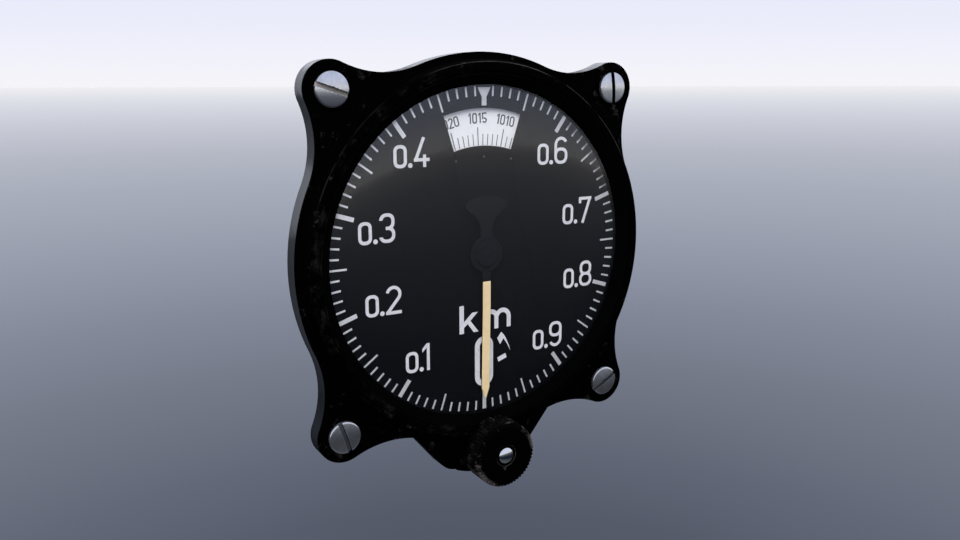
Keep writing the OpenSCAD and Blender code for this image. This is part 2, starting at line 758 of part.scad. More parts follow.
module unit_letters() {
    x_height = 4.6;
    stems = [0, 2.75, 6.05];
    translate([-6.36, unit_z]) {
        square([unit_s + 0.05, 6.35]);
        polygon([[1, 2.5], [3.29, 4.53], [4.69, 4.53], [2.75, 2.74], [4.85, 0], [3.6, 0], [2.1, 2.05],
            [1, 1.25]]);
    }
    translate([-0.1, unit_z]) {
        square([unit_s, x_height - 1]);
        for (i = [0 : 1]) {
            reach = (stems[i + 1] - stems[i] + unit_s) / 2;
            translate([stems[i + 1], 0]) square([unit_s, x_height - reach]);
            arc([stems[i] + reach, x_height - reach], reach - unit_s / 2, unit_s, 0, 180);
        }
    }
}

// Small curved arrow and dash beside the large nought
module turn_arrow() {
    polygon([[4.47, -18.6], [3.43, -19.96], [4.19, -21.47], [5.05, -20.15], [5.61, -20.95], [6.24, -21.95],
        [6.93, -23.35], [6.52, -21.94], [5.83, -20.44], [5.26, -19.4]]);
    translate([4.68, -24.68]) rotate(18.5) square([2.3, 1.08], center = true);
}

module dial_numerals() color("#d5d6de") {
    deep(dial_y - print_t, dial_y) {
        for (p = label_places) label(p[0], p[1], p[2]);
        unit_letters();
        translate([-2.45, zero_z]) loop_stroke(4.75, 11.7, 1.25, 2.3);
        turn_arrow();
    }
}

// Flat spring washer that keeps the setting where it is put
module friction_washer() color("#8f8a80") ring(bore_r + 1.4, ledge_r + 0.6, ledge_back + 0.02,
    ledge_back + 0.02 + washer_t);

bush_lip = 0.7;

module shaft_bush() color("#a8884a") {
    seal_y = flange_y - 0.7;
    difference() {
        union() {
            rod(bush_r, rim_y - 0.1, ledge_back, 0, knob_z);
            rod(bush_r + bush_lip, rim_y - 0.1, rim_y + 0.3, 0, knob_z);
        }
        rod(shaft_r + run_gap, rim_y - 2, ledge_back + 1, 0, knob_z);
        rod(shaft_r + 2 * seal_cord_r + run_gap, seal_y - seal_cord_r - 0.1,
            seal_y + seal_cord_r + 0.1, 0, knob_z);
    }
}

module shaft_seal() color("#1b1b1b") {
    seal_y = flange_y - 0.7;
    translate([0, seal_y, knob_z]) turned() translate([shaft_r + seal_cord_r + run_gap / 2, 0])
        circle(r = seal_cord_r - run_gap / 2);
}

module stop_pin() color("#8d9096") {
    translate([0, stop_y, 0]) rotate([180, 0, 0]) translate([0, 0, spigot_in_r - 0.5])
        cylinder(r = stop_pin_r, h = barrel_r - spigot_in_r);
}

// Hose fitting of the static pressure line
port_washer_t = 0.4;
port_hex_h = 3.6;
port_hex_r = 6.4;
port_hex_y = case_depth + port_washer_t;
port_spigot_y = port_hex_y + port_hex_h;

module static_port() color("#a8884a") {
    difference() {
        union() {
            rod(port_thread_r - fit_gap, case_depth - back_wall, port_hex_y);
            translate([0, port_spigot_y, 0]) rotate([90, 0, 0])
                cylinder(r = port_hex_r, h = port_hex_h, $fn = 6);
            rod(port_r, port_spigot_y, port_spigot_y + port_len);
        }
        rod(port_bore_r, case_depth - 5, port_spigot_y + port_len + 1);
    }
}

module port_washer() color("#303033") ring(port_hex_r * 0.86, port_thread_r, case_depth, port_hex_y);

module access_plug() color("#5f5e5a") {
    difference() {
        union() {
            rod(plug_r - fit_gap, case_depth - back_wall, case_depth, 0, plug_z);
            rod(plug_r + 1.2, case_depth, case_depth + 1.2, 0, plug_z);
        }
        translate([-6, case_depth + 0.6, plug_z - 0.5]) cube([12, 2, 1]);
    }
}

// Toothed plate that carries scale and movement, running in the rear case's collar
module carrier_gear() color("#b3934f") {
    difference() {
        union() {
            deep(gear_front, gear_back) gear_shape(set_module, carrier_teeth, set_backlash, 0);
            rod(ledge_r - 0.5, disc_front, gear_back);
            rod(bearing_r, gear_back - 0.1, spigot_back);
            deep(spigot_back - 0.1, stop_back)
                band(bearing_r, spigot_in_r, stop_mid - stop_half, stop_mid + stop_half);
        }
        rod(spigot_in_r, disc_back, spigot_back + 0.5);
        rod(disc_hole_r, disc_front - 1, disc_back + 1);
    }
}

module pressure_scale() color("#dee0ee") ring(scale_out_r, scale_in_r, disc_front - scale_t, disc_front);

module pressure_markings() color("#5a5b62") {
    front = disc_front - scale_t;
    deep(front - print_t, front) {
        for (v = [low_pressure : high_pressure]) {
            a = (set_pressure - v) * step_angle;
            five = v % 5 == 0;
            w = five ? 0.18 : 0.15;
            rotate(-a) translate([-w / 2, window_in_r + 0.1]) square([w, five ? 3.8 : 2.4]);
            if (five) rotate(-a) translate([0, window_in_r + 4.75]) number(v, 1.15, 2.2, 0.27, 0.2);
        }
    }
}

module pivot_holes(r_hand, r_inter, r_rocker, y0, y1) {
    rod(r_hand, y0, y1);
    rod(r_inter, y0, y1, inter_x, inter_z);
    rod(r_rocker, y0, y1, rocker_x, rocker_z);
}

bush_out_r = 2;

module front_plate() color("#c2a05a") {
    difference() {
        rod(spigot_in_r - 0.1, plate1_y, plate1_back);
        pivot_holes(bush_out_r, bush_out_r, bush_out_r, plate1_y - 1, plate1_back + 1);
        for (p = pillar_places) rod(1.2, plate1_y - 1, plate1_back + 1, p[0], p[1]);
    }
}

// The rear plate leaves room for the capsules above it
module rear_plate() color("#c2a05a") {
    reach = case_in_at(plate2_back) - plate_clearance;
    difference() {
        intersection() {
            rod(reach, plate2_y, plate2_back);
            union() {
                translate([-reach, plate2_y - 1, -reach])
                    cube([2 * reach, plate_t + 2, reach + rear_plate_top]);
                translate([rocker_x - rear_lug_half, plate2_y - 1, -reach])
                    cube([reach, plate_t + 2, reach + rocker_z + rear_lug_half]);
            }
        }
        pivot_holes(bush_out_r, bush_out_r, bush_out_r, plate2_y - 1, plate2_back + 1);
        for (p = pillar_places) rod(pillar_screw_r + 0.1, plate2_y - 1, plate2_back + 1, p[0], p[1]);
    }
}

module pillars() color("#b8b8b8") {
    for (p = pillar_places) difference() {
        union() {
            rod(pillar_r, plate1_back, plate2_y, p[0], p[1]);
            rod(1.2 - fit_gap, plate1_y + 0.1, plate1_back, p[0], p[1]);
        }
        rod(pillar_screw_r + fit_gap, plate2_y - 5, plate2_y + 1, p[0], p[1]);
    }
}

module plate_screws() color("#8d9096") {
    for (p = pillar_places) difference() {
        union() {
            rod(1.9, plate2_back, plate2_back + 1, p[0], p[1]);
            rod(pillar_screw_r, plate2_y - 4.5, plate2_back, p[0], p[1]);
        }
        translate([p[0] - 3, plate2_back + 0.5, p[1] - 0.25]) cube([6, 2, 0.5]);
    }
}

rocker_pivot_r = pivot_r + 0.2;
hand_r = 1;

module front_bushes() color("#b0404a") {
    difference() {
        pivot_holes(bush_out_r - fit_gap, bush_out_r - fit_gap, bush_out_r - fit_gap,
            plate1_y, plate1_back + 0.3);
        pivot_holes(hand_r + pivot_gap, pivot_r + pivot_gap, rocker_pivot_r + pivot_gap,
            plate1_y - 1, plate1_back + 1);
    }
}

module rear_bushes() color("#b0404a") {
    difference() {
        pivot_holes(bush_out_r - fit_gap, bush_out_r - fit_gap, bush_out_r - fit_gap,
            plate2_y - 0.3, plate2_back);
        pivot_holes(pivot_r + pivot_gap, pivot_r + pivot_gap, rocker_pivot_r + pivot_gap,
            plate2_y - 1, plate2_back + 1);
    }
}

// Bracket on the front plate that holds the fixed end of the capsule stack
bracket_w = 12;

module capsule_bracket() color("#c2a05a") {
    x0 = stack_base - bracket_t;
    difference() {
        union() {
            translate([x0, plate1_back, pin_z - bracket_w / 2])
                cube([bracket_t, capsule_y + 6 - plate1_back, bracket_w]);
            translate([x0 - 3.4, plate1_back, pin_z - bracket_w / 2]) cube([3.5, 1.4, bracket_w]);
        }
        on_x(capsule_y, pin_z) cylinder(r = 1.5, h = 100, center = true);
    }
}

// One capsule, from its axis outwards: neck, two corrugated skins and the soldered rim
function skin(r, side) = side * (capsule_pitch / 2 - 0.85 + 0.28 * cos(360 * (r - 3) / 2.1));

module capsule_half_shape() {
    rim = capsule_r - 1;
    radii = [for (r = [3.2 : 0.35 : rim - 0.6]) r];
    upper = [for (r = radii) [r, skin(r, 1)]];
    lower = [for (i = [len(radii) - 1 : -1 : 0]) [radii[i], skin(radii[i], -1)]];
    polygon(concat([[0, capsule_pitch / 2], [neck_r, capsule_pitch / 2], [neck_r, capsule_pitch / 2 - 0.5]],
        upper, [[rim, 0.4], [capsule_r, 0.4], [capsule_r, -0.4], [rim, -0.4]], lower,
        [[neck_r, 0.5 - capsule_pitch / 2], [neck_r, -capsule_pitch / 2], [0, -capsule_pitch / 2]]));
}

module capsule_stack() color("#b7a36a") {
    difference() {
        on_x(capsule_y, pin_z) {
            for (i = [0 : capsule_count - 1])
                translate([0, 0, stack_end - (i + 0.5) * capsule_pitch])
                    rotate_extrude() capsule_half_shape();
            translate([0, 0, stack_base]) cylinder(r = neck_r, h = 1.3);
            translate([0, 0, stack_end - 0.1]) cylinder(r = neck_r, h = 0.9);
        }
        on_x(capsule_y, pin_z) {
            translate([0, 0, stack_end - 6]) cylinder(r = post_r + run_gap, h = 10);
            translate([0, 0, stack_base - 1]) cylinder(r = 1.2, h = 3);
        }
    }
}

module adjusting_screw() color("#8d9096") {
    x0 = stack_base - bracket_t;
    on_x(capsule_y, pin_z) difference() {
        union() {
            translate([0, 0, x0 - 1.6]) cylinder(r = 2.6, h = 1.6);
            translate([0, 0, x0]) cylinder(r = 1.5 - fit_gap, h = bracket_t);
            translate([0, 0, stack_base]) cylinder(r = 1.2 - fit_gap, h = 1.8);
        }
        translate([-0.3, -4, x0 - 2]) cube([0.6, 8, 1.2]);
    }
}

// Flat spiral spring around the hand's arbor
spring_y = plate1_back + 6.5;
spring_in_r = 2.1;
spring_out_r = 6.6;
spring_turns = 6;
stud_at = -90;
stud_r = 0.7;

module hairspring() color("#5d6fa0") {
    steps = spring_turns * 20;
    half = 0.08;
    line = [for (i = [0 : steps]) let (t = i / steps) [spring_in_r + (spring_out_r - spring_in_r) * t,
        360 * spring_turns * t + stud_at]];
    deep(spring_y, spring_y + 0.9) polygon(concat([for (p = line) at(p[0] + half, p[1])],
        [for (i = [steps : -1 : 0]) at(line[i][0] - half, line[i][1])]));
}

module hairspring_stud() color("#b3934f") {
    p = at(spring_out_r + stud_r + 0.09, stud_at);
    rod(stud_r, spring_y - 0.6, plate2_y, p[0], p[1]);
}

// The capsules' moving post with the link to the rocking lever
module capsule_post() color("#c9c9c9") {
    on_x(capsule_y, pin_z) translate([0, 0, stack_end - 4.5]) cylinder(r = post_r, h = post_end - stack_end + 4.6);
    for (y = [link_y - 1, link_y + 1.1])
        translate([post_end - 0.6, y, pin_z - 1]) cube([post_fork + 0.9, 0.9, 2]);
    translate([post_end - 0.6, link_y - 1, pin_z - 1]) cube([0.7, 3, 2]);
    rod(link_pin_r - fit_gap, link_y - 0.5, link_y + 1.5, post_end + 1.1, pin_z);
}

module link_rod() color("#8f8a80") {
    difference() {
        deep(link_y, link_y + 1) {
            translate([post_end + 1.1, pin_z]) circle(r = 0.95);
            translate([pin_x, pin_z]) circle(r = 1.4);
            translate([post_end + 1.1, pin_z - 0.5]) square([pin_x - post_end - 1.1, 1]);
        }
        rod(link_pin_r, link_y - 1, link_y + 2, post_end + 1.1, pin_z);
        rod(link_pin_r + open_pivot_gap, link_y - 1, link_y + 2, pin_x, pin_z);
    }
}

// Rocking shaft with sector, lever and counterweight
rocker_shaft_r = 1.1;

module rocking_shaft() color("#8d9096") {
    rod(rocker_shaft_r, plate1_back + arbor_end_gap, plate2_y - arbor_end_gap, rocker_x, rocker_z);
    rod(rocker_pivot_r, plate1_y + 0.1, plate2_back - 0.1, rocker_x, rocker_z);
}

module sector_gear() color("#b3934f") {
    mid = sector_dir - lever_tilt;
    translate([rocker_x, 0, rocker_z]) difference() {
        union() {
            deep(sector_y, sector_y + 1) {
                intersection() {
                    gear_shape(move_module, sector_teeth, move_backlash, sector_dir);
                    difference() {
                        wedge(sector_r * 1.2, mid - sector_half, mid + sector_half);
                        circle(r = sector_r - 2.4);
                    }
                }
                for (s = [-1, 1]) bar([0, 0], at(sector_r - 1.6, mid + s * (sector_half - 2.2)), 1.1);
            }
            rod(2.3, sector_y - 0.6, sector_y + 1.4);
        }
        rod(rocker_shaft_r + fit_gap, sector_y - 2, sector_y + 3);
    }
}

module lever_arm() color("#b8b8b8") {
    difference() {
        union() {
            deep(lever_y, lever_y + lever_t) {
                translate([rocker_x, rocker_z]) circle(r = 2.1);
                bar([rocker_x, rocker_z], [pin_x, pin_z], 1.6);
                translate([pin_x, pin_z]) circle(r = 1.1);
                bar([rocker_x, rocker_z], [rocker_x, rocker_z] + at(6, 180 - lever_tilt), 1.4);
            }
            rod(link_pin_r, link_y - 0.3, lever_y + 0.1, pin_x, pin_z);
        }
        rod(rocker_shaft_r + fit_gap, lever_y - 1, lever_y + 3, rocker_x, rocker_z);
    }
}

module lever_counterweight() color("#b3934f") {
    p = [rocker_x, rocker_z] + at(6.5, 180 - lever_tilt);
    rod(2.6, lever_y + lever_t, lever_y + lever_t + 1.6, p[0], p[1]);
    difference() {
        rod(2.6, lever_y - 0.7, lever_y + lever_t + 0.1, p[0], p[1]);
        rod(6.1, lever_y - 1, lever_y + lever_t, rocker_x, rocker_z);
        deep(lever_y - 0.01, lever_y + lever_t)
            bar([rocker_x, rocker_z], [rocker_x, rocker_z] + at(6.01, 180 - lever_tilt), 1.42);
    }
}

// Two-metal strip along the lever that takes out the effect of warmth
module bimetal_strip() color("#9c7b62") {
    base = [rocker_x, rocker_z] + at(3, -lever_tilt);
    tip = [rocker_x, rocker_z] + at(lever_len - 3.5, -lever_tilt);
    deep(lever_y + lever_t, lever_y + lever_t + 0.4) bar(base, tip, 1.2);
}

// Intermediate arbor with wheel and pinion
inter_r = 0.9;

module intermediate_arbor() color("#8d9096") {
    rod(inter_r, plate1_back + arbor_end_gap, plate2_y - arbor_end_gap, inter_x, inter_z);
    rod(pivot_r, plate1_y + 0.1, plate2_back - 0.1, inter_x, inter_z);
}

module intermediate_wheel() color("#b3934f") {
    hub = 2;
    rim = wheel_r - 1.9;
    translate([inter_x, 0, inter_z]) difference() {
        deep(train_y, train_y + wheel_t) difference() {
            gear_shape(move_module, wheel_teeth, move_backlash, wheel_dir);
            difference() {
                circle(r = rim);
                circle(r = hub);
                for (a = [0 : 90 : 270]) rotate(a) translate([0, -0.6]) square([rim + 1, 1.2]);
            }
        }
        rod(inter_r + fit_gap, train_y - 1, train_y + 2);
    }
}

module pinion(dir, y0, y1, bore) {
    difference() {
        deep(y0, y1) gear_shape(move_module, pinion_teeth, move_backlash, dir + 180 / pinion_teeth);
        rod(bore + fit_gap, y0 - 1, y1 + 1);
    }
}

module intermediate_pinion() color("#8d9096")
    translate([inter_x, 0, inter_z]) pinion(sector_dir + 180, sector_y - 0.8, sector_y + 1.8, inter_r);

module centre_pinion() color("#8d9096") pinion(inter_dir, train_y - 0.7, train_y + 1.8, hand_r);

// Hand's arbor, pointer and their small pieces
module hand_arbor() color("#8d9096") {
    rod(hand_r, pointer_front - 0.1, plate2_y - arbor_end_gap);
    rod(pivot_r, plate2_y - 1, plate2_back - 0.1);
}

module hairspring_collet() color("#b3934f") ring(1.8, hand_r + fit_gap, spring_y - 0.3, spring_y + 1.2);

module fan_half(s) polygon([[0, 0], [s * 1.5, 0], [s * 1.5, 6], [s * 1.95, 7.3], [s * 2.9, 8.5],
    [s * 4.3, 9.5], [s * 5.2, 10.3], [s * 5.3, 11], [s * 5, 11.6], [s * 4.3, fan_r + 1], [0, fan_r + 1]]);

// Flat strip that leans back towards the dial beyond the bend
module leaning_strip(front, back) {
    far = tip_r + 1;
    drop = (far - blade_bend_r) * tan(blade_lean);
    rotate([90, 0, 90]) translate([0, 0, -2]) linear_extrude(4)
        polygon([[front, 0], [front, -blade_bend_r], [front + drop, -far], [back + drop, -far],
            [back, -blade_bend_r], [back, 0]]);
}

// The blade hangs down at zero, its counterweight stands above the hub
module pointer() color("#1c1c1e") {
    difference() {
        union() {
            deep(pointer_front, pointer_back) {
                circle(r = hub_r);
                translate([-1.1, -lume_r - 1]) square([2.2, lume_r]);
                intersection() {
                    circle(r = fan_r);
                    union() {
                        fan_half(1);
                        fan_half(-1);
                    }
                }
            }
            intersection() {
                leaning_strip(pointer_front + 0.12, pointer_back);
                deep(pointer_front - 1, pointer_back + 2)
                    polygon([[-0.9, 0], [0.9, 0], [0.9, -taper_r], [0, 0.4 - tip_r], [-0.9, -taper_r]]);
            }
        }
        rod(hand_r + fit_gap, pointer_front - 1, pointer_back + 1);
    }
}

// Luminous bar laid on the blade
module pointer_lume() color("#dec79c") {
    intersection() {
        leaning_strip(pointer_front - 0.12, pointer_front + 0.12);
        deep(pointer_front - 1, pointer_back + 2) polygon([[-lume_w / 2, -lume_r - 1],
            [lume_w / 2, -lume_r - 1], [lume_w / 2, -taper_r], [0.2, -tip_r], [-0.2, -tip_r],
            [-lume_w / 2, -taper_r]]);
    }
    deep(pointer_front - 0.12, pointer_front) polygon([[-lume_w / 2, -lume_r], [lume_w / 2, -lume_r],
        [lume_w / 2, -lume_r - 1.5], [-lume_w / 2, -lume_r - 1.5]]);
}

module pointer_boss() color("#1c1c1e") {
    turned() polygon([[0, pointer_front - 0.11], [hand_r, pointer_front - 0.11], [hand_r, pointer_front],
        [hub_boss_r, pointer_front], [hub_boss_r, pointer_front - 0.25],
        [hub_boss_r - 0.2, pointer_front - 0.4], [0, pointer_front - 0.45]]);
}

// Setting knob with straight ribs, its screw, shaft and pinion
screw_well_r = 2.4;
screw_well_d = 0.5;
knob_bore_front = knob_front + 1.9;

function knob_points() = [for (i = [0 : knob_ribs - 1], k = [0 : 3])
    at(k == 0 || k == 3 ? knob_r - rib_depth : knob_r, 360 * (i + [0, 0.28, 0.72, 1][k] * 0.98) / knob_ribs)];

module knob() color("#151516") {
    translate([0, 0, knob_z]) difference() {
        intersection() {
            deep(knob_front, knob_back) polygon(knob_points());
            turned() polygon([[0, knob_front - 1], [knob_r - 1.5, knob_front - 1],
                [knob_r + 0.3, knob_front + 0.8], [knob_r + 0.3, knob_back - 0.6],
                [knob_r - 1.3, knob_back + 1], [0, knob_back + 1]]);
        }
        rod(screw_well_r, knob_front - 1, knob_front + screw_well_d);
        rod(1 + fit_gap, knob_front - 1, knob_bore_front + 1);
        rod(shaft_r + fit_gap, knob_bore_front, knob_back + 1);
    }
}

module knob_screw() color("#c9ccd2") {
    top = knob_front + screw_well_d;
    translate([0, 0, knob_z]) {
        turned() polygon([[0, top], [1.9, top], [1.9, top - 0.3], [1.75, top - 0.62], [1.35, top - 0.92],
            [0.7, top - 1.08], [0, top - 1.12]]);
        rod(1, top - 0.1, knob_bore_front + 2.5);
    }
}

module knob_shaft() color("#8d9096") {
    translate([0, 0, knob_z]) difference() {
        union() {
            rod(shaft_r, knob_bore_front, gear_front);
            rod(shaft_r - 0.6, gear_front - 0.1, gear_back);
            rod(shaft_pivot_r, gear_back - 0.1, -shaft_pivot_wall - 0.1);
        }
        rod(1 + fit_gap, knob_bore_front - 1, knob_bore_front + 2.6);
    }
}

module knob_pinion() color("#b3934f") {
    translate([0, 0, knob_z]) difference() {
        deep(gear_front, gear_back) gear_shape(set_module, knob_teeth, set_backlash, 180 / knob_teeth);
        rod(shaft_r - 0.6 + fit_gap, gear_front - 1, gear_back + 1);
    }
}

case_front();
case_rear();
case_screws();
mounting_screws();
bezel_ring();
cover_glass();
glass_gasket();
sloped_ring();
dial_plate();
dial_graduations();
dial_numerals();
dial_rivets();
friction_washer();
shaft_bush();
shaft_seal();
stop_pin();
static_port();
port_washer();
access_plug();
carrier_gear();
pressure_scale();
pressure_markings();
front_plate();
rear_plate();
pillars();
plate_screws();
front_bushes();
rear_bushes();
capsule_bracket();
capsule_stack();
adjusting_screw();
hairspring();
hairspring_stud();
capsule_post();
link_rod();
rocking_shaft();
sector_gear();
lever_arm();
lever_counterweight();
bimetal_strip();
intermediate_arbor();
intermediate_wheel();
intermediate_pinion();
hand_arbor();
centre_pinion();
hairspring_collet();
pointer();
pointer_lume();
pointer_boss();
knob();
knob_screw();
knob_shaft();
knob_pinion();
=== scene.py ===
import json
import math

import bpy
from mathutils import Matrix, Vector

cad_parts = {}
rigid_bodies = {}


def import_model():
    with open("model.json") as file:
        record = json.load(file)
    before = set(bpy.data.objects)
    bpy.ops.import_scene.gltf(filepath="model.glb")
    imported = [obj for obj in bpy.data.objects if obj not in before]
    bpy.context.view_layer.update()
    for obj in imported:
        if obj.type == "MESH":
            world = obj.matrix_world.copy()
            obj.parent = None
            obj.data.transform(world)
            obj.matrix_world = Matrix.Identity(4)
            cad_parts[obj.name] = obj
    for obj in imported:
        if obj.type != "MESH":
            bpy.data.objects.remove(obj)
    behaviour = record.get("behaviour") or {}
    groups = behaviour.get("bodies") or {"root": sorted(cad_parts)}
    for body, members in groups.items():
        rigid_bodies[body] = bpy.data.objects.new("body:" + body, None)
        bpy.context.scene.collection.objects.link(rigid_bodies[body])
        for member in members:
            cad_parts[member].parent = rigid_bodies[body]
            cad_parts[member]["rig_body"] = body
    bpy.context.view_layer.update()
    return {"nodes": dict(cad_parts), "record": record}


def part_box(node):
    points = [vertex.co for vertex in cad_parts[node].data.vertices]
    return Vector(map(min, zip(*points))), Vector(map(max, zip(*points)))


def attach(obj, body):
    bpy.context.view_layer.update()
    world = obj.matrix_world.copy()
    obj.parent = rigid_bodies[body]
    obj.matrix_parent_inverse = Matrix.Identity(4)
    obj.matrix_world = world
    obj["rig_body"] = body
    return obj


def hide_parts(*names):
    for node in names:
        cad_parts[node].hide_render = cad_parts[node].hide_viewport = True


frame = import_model()
nodes = frame["nodes"]
mm = 0.001

print("stage: camera and light")

# The photograph's view, solved from the dial's marks
cameraSettings = {
    "place": (-95.695, -163.335, 36.553),   # mm
    "turn": -30.759,                        # degrees about Z
    "lookDown": 12.247,
    "roll": -0.117,
    "lens": 32.228,
    "sensor": 36,
    "nearest": 0.005,                       # metres, as the next one
    "furthest": 200,
}


def placeCamera(s):
    data = bpy.data.cameras.new("photoCamera")
    data.lens = s["lens"]
    data.sensor_width = s["sensor"]
    data.clip_start = s["nearest"]
    data.clip_end = s["furthest"]
    camera = bpy.data.objects.new("photoCamera", data)
    bpy.context.scene.collection.objects.link(camera)
    turn = Matrix.Rotation(math.radians(s["turn"]), 4, "Z")
    tilt = Matrix.Rotation(math.radians(90 - s["lookDown"]), 4, "X")
    roll = Matrix.Rotation(math.radians(s["roll"]), 4, "Z")
    camera.matrix_world = Matrix.Translation(Vector(s["place"]) * mm) @ turn @ tilt @ roll
    bpy.context.scene.camera = camera


placeCamera(cameraSettings)
bpy.context.scene.view_settings.view_transform = "Standard"


def hexColor(text):
    # sRGB hex to Blender's linear colour
    values = [int(text[i:i + 2], 16) / 255 for i in (1, 3, 5)]
    return [v / 12.92 if v <= 0.04045 else ((v + 0.055) / 1.055) ** 2.4 for v in values] + [1]


def addNode(tree, kind, inputs=None, output=None, **settings):
    # one node; an input is a value, a hex colour or the socket that feeds it
    node = tree.nodes.new(kind)
    stops = settings.pop("stops", [])
    for key, value in settings.items():
        setattr(node, key, value)
    for index, (place, color) in enumerate(stops):
        if index >= len(node.color_ramp.elements):
            node.color_ramp.elements.new(1)
        node.color_ramp.elements[index].position = place
        node.color_ramp.elements[index].color = hexColor(color)
    for key, value in (inputs or {}).items():
        if isinstance(value, bpy.types.NodeSocket):
            tree.links.new(value, node.inputs[key])
        else:
            node.inputs[key].default_value = hexColor(value) if isinstance(value, str) else value
    return node if output is None else node.outputs[output]


def layColors(tree, color, *layers):
    # each layer is (how much of it shows, its colour), laid over those before it
    for share, tone in layers:
        color = addNode(tree, "ShaderNodeMix", {0: share, 6: color, 7: tone}, 2, data_type="RGBA")
    return color


# The sky is pale and the floor fades from it to grey-blue near the object, with tones fitted to the
# photograph's. What is mirrored has tones of its own, fitted to its reflections
skySettings = {
    # sine of the height above the horizon, and the colour there
    "seen": [(0.0, "#f5f4f9"), (0.03, "#f1f1fb"), (0.06, "#ecedfb"), (0.1, "#e7eafa"), (0.4, "#dfe4f8")],
    # what polished pieces and the glass mirror: white over the horizon, bluer higher up
    "mirrored": [(0.0, "#f5f3f2"), (0.006, "#f7f7f8"), (0.035, "#f4f5fa"), (0.07, "#eaedf8"),
                 (0.105, "#e2e7fa"), (0.14, "#dce2fb"), (0.21, "#d9e1fd"), (1.0, "#dae2fb")],
    "diffuse": 0.75,
    "sunTurn": -38,        # degrees, from the left and the front
    "sunHeight": 42,
    "sunStrength": 2.6,
    "sunSize": 50,
}


def makeWorld(s):
    world = bpy.data.worlds.new("paleSky")
    bpy.context.scene.world = world
    world.use_nodes = True
    tree = world.node_tree
    tree.nodes.clear()
    way = addNode(tree, "ShaderNodeTexCoord", None, "Generated")
    up = addNode(tree, "ShaderNodeSeparateXYZ", {0: way}, "Z")
    rays = addNode(tree, "ShaderNodeLightPath").outputs
    seen = addNode(tree, "ShaderNodeValToRGB", {0: up}, 0, stops=s["seen"])
    mirrored = addNode(tree, "ShaderNodeValToRGB", {0: up}, 0, stops=s["mirrored"])
    sky = layColors(tree, seen, (rays["Is Glossy Ray"], mirrored))
    direct = rays["Is Camera Ray"]
    for ray in ("Is Glossy Ray", "Is Transmission Ray"):
        direct = addNode(tree, "ShaderNodeMath", {0: direct, 1: rays[ray]}, 0, operation="MAXIMUM")
    plain = addNode(tree, "ShaderNodeBackground", {"Color": "#ffffff", "Strength": s["diffuse"]}, 0)
    shown = addNode(tree, "ShaderNodeBackground", {"Color": sky, "Strength": 1}, 0)
    mixed = addNode(tree, "ShaderNodeMixShader", {0: direct, 1: plain, 2: shown}, 0)
    addNode(tree, "ShaderNodeOutputWorld", {"Surface": mixed})


def makeSun(s):
    data = bpy.data.lights.new("softSun", "SUN")
    data.energy = s["sunStrength"]
    data.angle = math.radians(s["sunSize"])
    lamp = bpy.data.objects.new("softSun", data)
    bpy.context.scene.collection.objects.link(lamp)
    # a lamp shines down its own -Z
    lamp.rotation_euler = (math.radians(90 - s["sunHeight"]), 0, math.radians(s["sunTurn"]))
    # polished pieces mirror the sky and the floor, not the lamp
    lamp.visible_glossy = False


makeWorld(skySettings)
makeSun(skySettings)

floorSettings = {
    "level": -160,          # mm, under the object
    "radius": 60000,
    "cameraDistance": 189,  # mm, of the photograph's camera, from which the colours below are counted
    "cameraHeight": 36.5,
    "share": 0.76,          # of the seen colours, since the floor gets more light than 1
    # the slope at which the camera looks at a place, and the colour there
    "seen": [(0.0, "#f5f4f9"), (0.006, "#edecf1"), (0.014, "#e1e3ea"), (0.023, "#d7dae3"),
             (0.042, "#c9cbd7"), (0.075, "#b5b9c5"), (0.11, "#a8aebc"), (0.182, "#969cab"),
             (0.255, "#848a9a"), (0.33, "#757b89"), (0.445, "#636978"), (0.53, "#595f6e"),
             (1.0, "#4f5563")],
    # the same for what polished pieces mirror: dark in front of the object, paler right under it
    "mirrored": [(0.0, "#f3f0ee"), (0.006, "#e6e3e2"), (0.012, "#d3d1d2"), (0.021, "#bebdc0"),
                 (0.031, "#b3b2b7"), (0.041, "#abacb1"), (0.06, "#a0a2a7"), (0.079, "#909299"),
                 (0.115, "#83868f"), (0.164, "#6d707a"), (0.209, "#5b5f69"),
                 (0.263, "#4a4e58"), (0.313, "#3b3e49"), (0.358, "#2c313c"), (0.42, "#171c26"),
                 (0.52, "#1c222c"), (0.64, "#484e56"), (1.0, "#60666c")],
}


